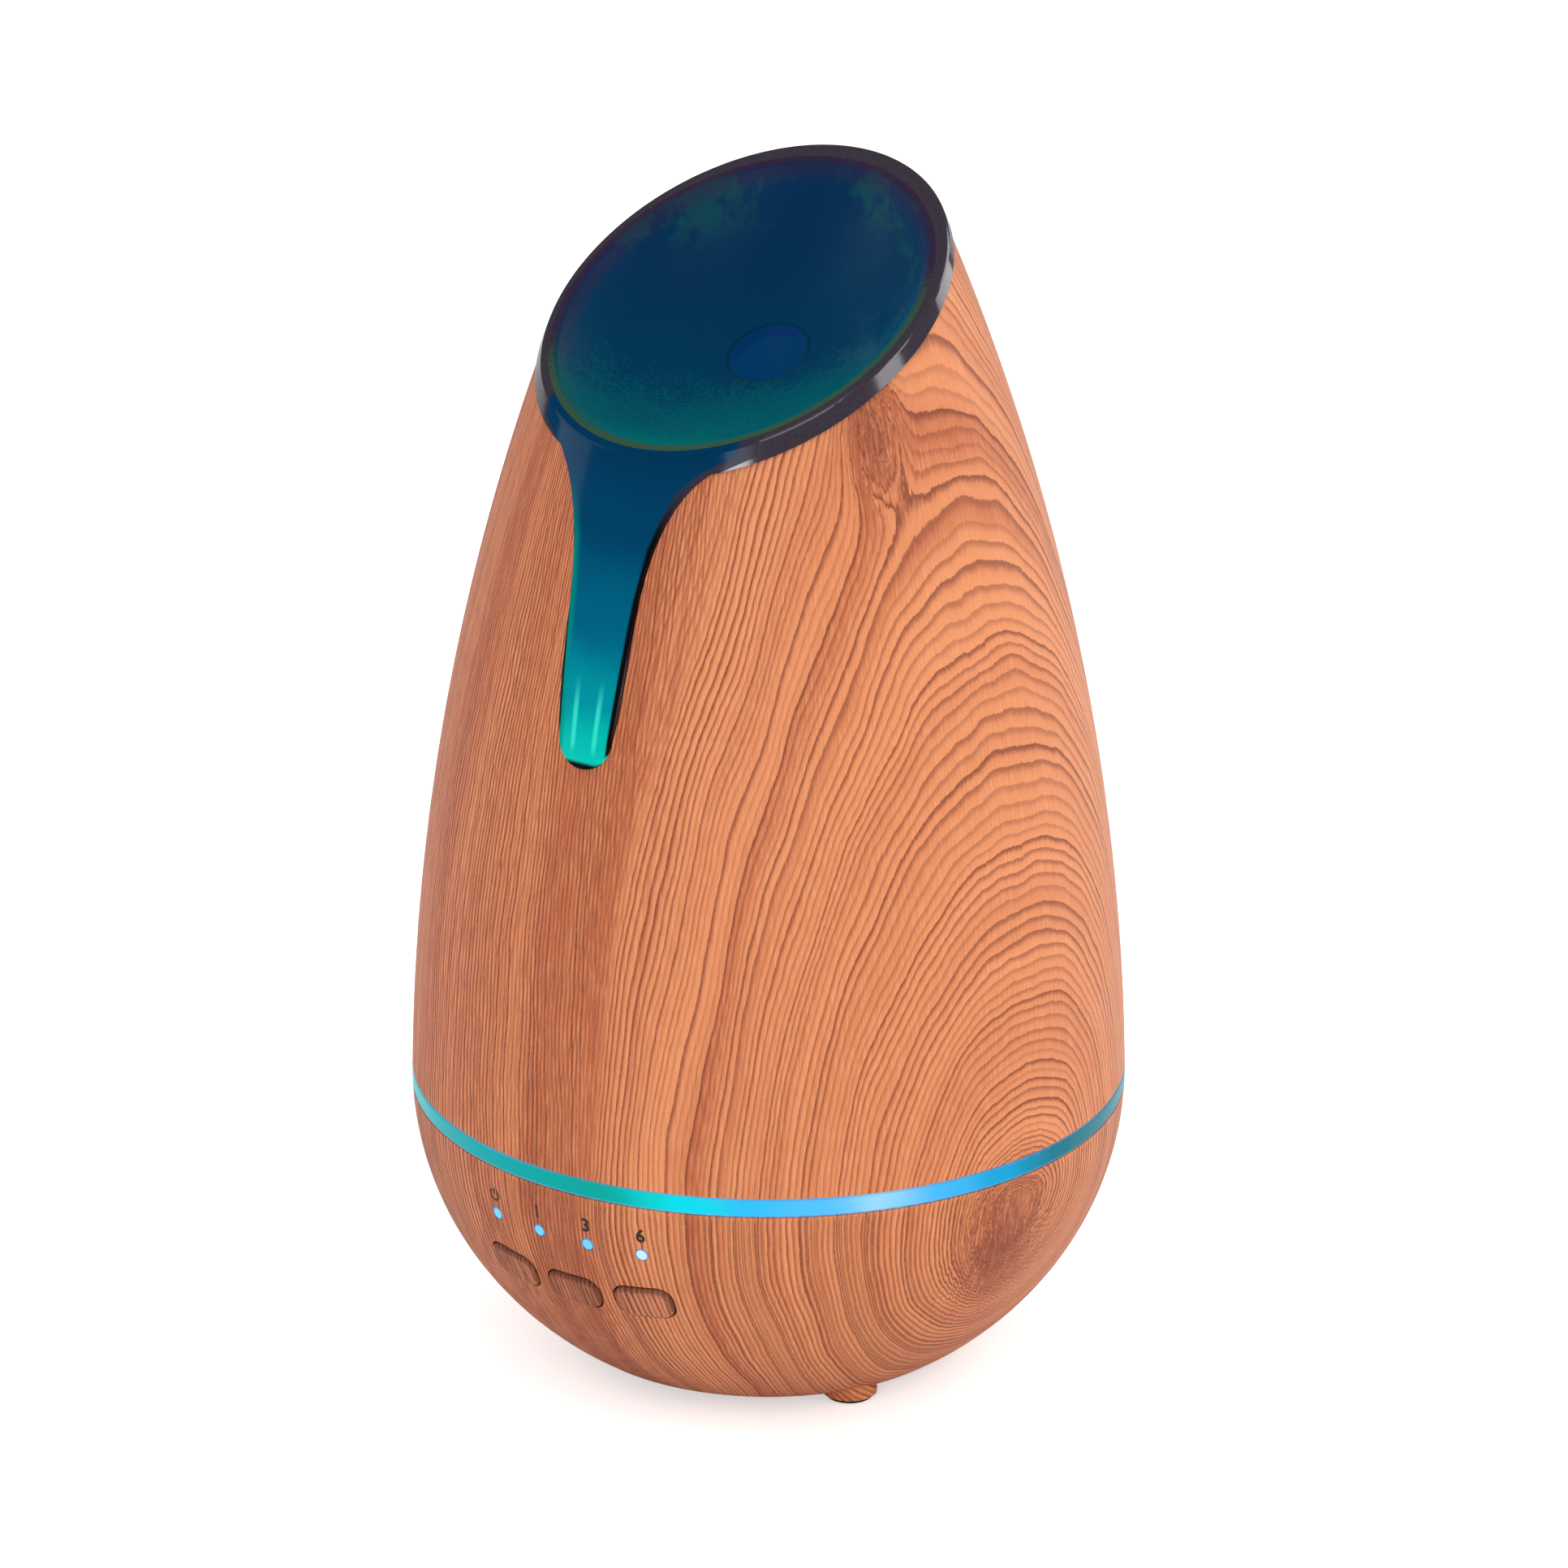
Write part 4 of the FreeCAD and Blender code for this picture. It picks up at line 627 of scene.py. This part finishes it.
def rod_glow(name):
    """Clear rods lit blue, paler in the middle and at the last light; their edge is a deeper blue."""
    s = Shader(name)
    x, y, z = s.place()
    sides = [(x - LIGHT_ORBIT_R * math.sin(math.radians(azimuth))).abs() for azimuth in LIGHT_AZIMUTHS]
    side = sides[0]
    for other in sides[1:]:
        side = side.min(other)
    from_middle = (side.squared() + (z - LIGHT_Z).squared()).sqrt()
    middle, last_middle, edge = ROD_COLOURS
    haze = s.noise(s.vector(x, y, z), scale=1.2, detail=2.0)
    lit = s.mix(x.step(*LAST_LIGHT_X) * LAST_LIGHT_MIX, middle, last_middle)
    s.set("Base Color", ROD_BASE)
    s.set("Emission Color", s.mix(from_middle.step(*ROD_EDGE), lit, edge))
    s.set("Emission Strength", 0.95)
    s.set("Roughness", haze.between(0.15, 0.35))
    return s.material


def tube_glow(name):
    """Inside of the mist tube, lit blue from below."""
    s = Shader(name)
    x, y, z = s.place()
    haze = s.noise(s.vector(x, y, z * 0.4), scale=0.3, detail=3.0, rough=0.6)
    s.set("Base Color", TUBE_BASE)
    s.set("Emission Color", s.mix(z.step(*TUBE_Z) + (haze - 0.5) * TUBE_HAZE, *TUBE_COLOURS))
    s.set("Emission Strength", 1.0)
    s.set("Roughness", haze.between(0.12, 0.32))
    return s.material


def ring_glow(name):
    """Frosted ring with coloured lights behind it; each colour fades into the next."""
    s = Shader(name)
    x, y, z = s.place()
    haze = s.noise(s.vector(x, y, z), scale=0.12, detail=2.0)
    place = azimuth_of(x, y) / math.tau + 0.5 + (haze - 0.5) * RING_HAZE
    colour = s.ramp(place, *(((azimuth + 180) / 360, srgb(*colour)) for azimuth, colour in RING_COLOURS))
    edge = (z - RING_Z * 1000).abs().step(*RING_EDGE)
    base_share, glow_share = RING_EDGE_MIX
    s.set("Base Color", s.mix(edge * base_share, RING_BASE, RING_EDGE_BASE))
    s.set("Metallic", edge.between(*RING_EDGE_METAL))
    s.set("Emission Color", s.mix(edge * glow_share, colour, RING_EDGE_GLOW))
    s.set("Emission Strength", 1.0)
    s.set("Roughness", haze.between(0.30, 0.40))
    return s.material


def moulded(name, colour, roughness=0.45, grain=0.03, metallic=0.0, alpha=1.0):
    """Moulded or machined surface with a little mottling and a fine texture, grain mm deep."""
    s = Shader(name)
    x, y, z = s.place()
    mottle = s.noise(s.vector(x, y, z), scale=0.08, detail=2.0)
    fine = s.noise(s.vector(x, y, z), scale=3.0, detail=2.0)
    darker = tuple(c * 0.88 for c in colour)
    s.set("Base Color", s.mix(mottle.step(0.25, 0.75), colour, darker))
    s.set("Roughness", fine.between(roughness - 0.08, roughness + 0.08))
    s.set("Metallic", metallic)
    s.set("Alpha", alpha)
    s.bump(fine, strength=0.3, distance=grain / 1000)
    return s.material


# ---------------------------------------------------------------- printed marks over the timer lights

# Sizes in metres.
MARK_H = 0.0025               # height of a figure
MARK_Z = 0.0448               # height of the marks' middle on the bowl
MARK_T = 0.00003              # thickness of the ink
MARK_BOLD = 0.00008           # that a figure's outline is widened by
MARK_WELD = 1e-7              # corners closer than this become one
FIGURE_SHARE = 0.7            # of the type size that a figure's height takes up
POWER_R, POWER_STROKE = MARK_H * 0.42, MARK_H * 0.13
POWER_BAR = (POWER_R * 0.15, POWER_R * 1.25)      # bottom and top of the bar
POWER_GAP = math.radians(38)  # half of the opening in the ring
POWER_STEPS = 20
MARKS = (("mark_power", None), ("mark_one", "1"), ("mark_three", "3"), ("mark_six", "6"))


def figure_outline(text):
    curve = bpy.data.curves.new("figure", "FONT")
    curve.body = text
    curve.size = MARK_H / FIGURE_SHARE
    curve.align_x, curve.align_y = "CENTER", "CENTER"
    curve.offset = MARK_BOLD
    return curve


def power_outline():
    """Ring open at the top with an upright bar in the gap."""
    half = POWER_STROKE / 2
    turns = [POWER_GAP + (math.tau - 2 * POWER_GAP) * i / POWER_STEPS for i in range(POWER_STEPS + 1)]
    outer, inner = ([(r * math.sin(a), r * math.cos(a)) for a in turns]
                    for r in (POWER_R + half, POWER_R - half))
    low, high = POWER_BAR
    bar = [(-half, low), (half, low), (half, high), (-half, high)]
    curve = bpy.data.curves.new("figure", "CURVE")
    for outline in (outer + inner[::-1], bar):
        spline = curve.splines.new("POLY")
        spline.points.add(len(outline) - 1)
        for point, (u, v) in zip(spline.points, outline):
            point.co = (u, v, 0, 1)
        spline.use_cyclic_u = True
    return curve


def printed_mark(name, text, azimuth, ink):
    """Flat figure laid on the bowl's outside, a hair thick."""
    curve = power_outline() if text is None else figure_outline(text)
    curve.dimensions = "2D"
    curve.fill_mode = "BOTH"
    curve.extrude = MARK_T / 2
    mesh = bpy.data.meshes.new_from_object(bpy.data.objects.new("figure", curve))
    bowl = nodes["base_bowl"]
    for vertex in mesh.vertices:
        u, v, w = vertex.co
        out = turned_towards(azimuth + math.degrees(u / BODY_R), 0)
        _, spot, normal, _ = bowl.ray_cast(Vector((0, 0, MARK_Z + v)) + out * BODY_R * 2, -out)
        vertex.co = spot + normal * (w + MARK_T)
    solid = bmesh.new()
    solid.from_mesh(mesh)
    bmesh.ops.remove_doubles(solid, verts=solid.verts, dist=MARK_WELD)
    bmesh.ops.recalc_face_normals(solid, faces=solid.faces)
    solid.to_mesh(mesh)
    solid.free()
    mesh.name = name
    mesh.materials.append(ink)
    mark = bpy.data.objects.new(name, mesh)
    bpy.context.scene.collection.objects.link(mark)
    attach(mark, "base")


# ---------------------------------------------------------------- dressing the CAD nodes

def dress(material, *names):
    for name in names:
        mesh = nodes[name].data
        mesh.materials.clear()
        mesh.materials.append(material)


make_camera()
make_studio()

dress(wood("wood_cover"), "outer_cover")
dress(wood("wood_bowl"), "base_bowl")
dress(wood("wood_key", KEY_COLOURS, KEY_PAINTED_SHADE), "key_left", "key_middle", "key_right")
dress(smoked_glow("smoked_glow"), "drip_dish")
dress(ring_glow("ring_glow"), "light_ring")
dress(moulded("white_plastic", srgb(226, 226, 222)), "inner_lid", "lid_skirt", "lid_chimney", "air_duct")
dress(tube_glow("tube_glow"), "mist_tube")
dress(moulded("tank_plastic", srgb(222, 228, 230), 0.25, alpha=0.75), "water_tank", "tank_floor",
      "cover_collar", "transducer_cup", "air_tower", "deck_posts")
dress(moulded("black_plastic", srgb(30, 30, 32)), "fan_frame", "fan_rotor", "dc_jack", "plunger_left",
      "plunger_middle", "plunger_right")
dress(moulded("rubber", srgb(34, 34, 35), 0.7, 0.06), "foot_pads")
dress(moulded("silicone", srgb(215, 215, 208), 0.6), "deck_gasket", "transducer_seal")
dress(moulded("steel", srgb(180, 180, 182), 0.3, 0.02, 1.0), "base_screws", "transducer_screws",
      "fan_screws", "board_screws", "transducer_plate")
dress(moulded("nickel", srgb(205, 200, 186), 0.2, 0.01, 1.0), "transducer_disc")
dress(moulded("brass", srgb(200, 165, 90), 0.25, 0.01, 1.0), "jack_pin")
dress(moulded("aluminium", srgb(190, 192, 195), 0.35, 0.03, 1.0), "heat_sink")
dress(moulded("copper", srgb(186, 104, 60), 0.35, 0.1, 1.0), "fan_stator", "inductor")
dress(moulded("solder_mask", srgb(18, 84, 48), 0.35, 0.04), "main_board", "led_board", "key_board")
dress(moulded("chip", srgb(28, 28, 31), 0.5), "capacitors", "control_chip", "tact_switches")
dress(moulded("led_body", srgb(235, 235, 226), 0.3), "rgb_leds", "indicator_leds")
dress(rod_glow("rod_glow"), "light_pipes")
dress(moulded("lead_sheath", srgb(170, 32, 26), 0.5), "jack_lead", "fan_lead", "transducer_lead",
      "light_lead", "key_lead")

ink = moulded("ink", srgb(26, 14, 13), 0.5)
for (name, text), azimuth in zip(MARKS, LIGHT_AZIMUTHS):
    printed_mark(name, text, azimuth, ink)
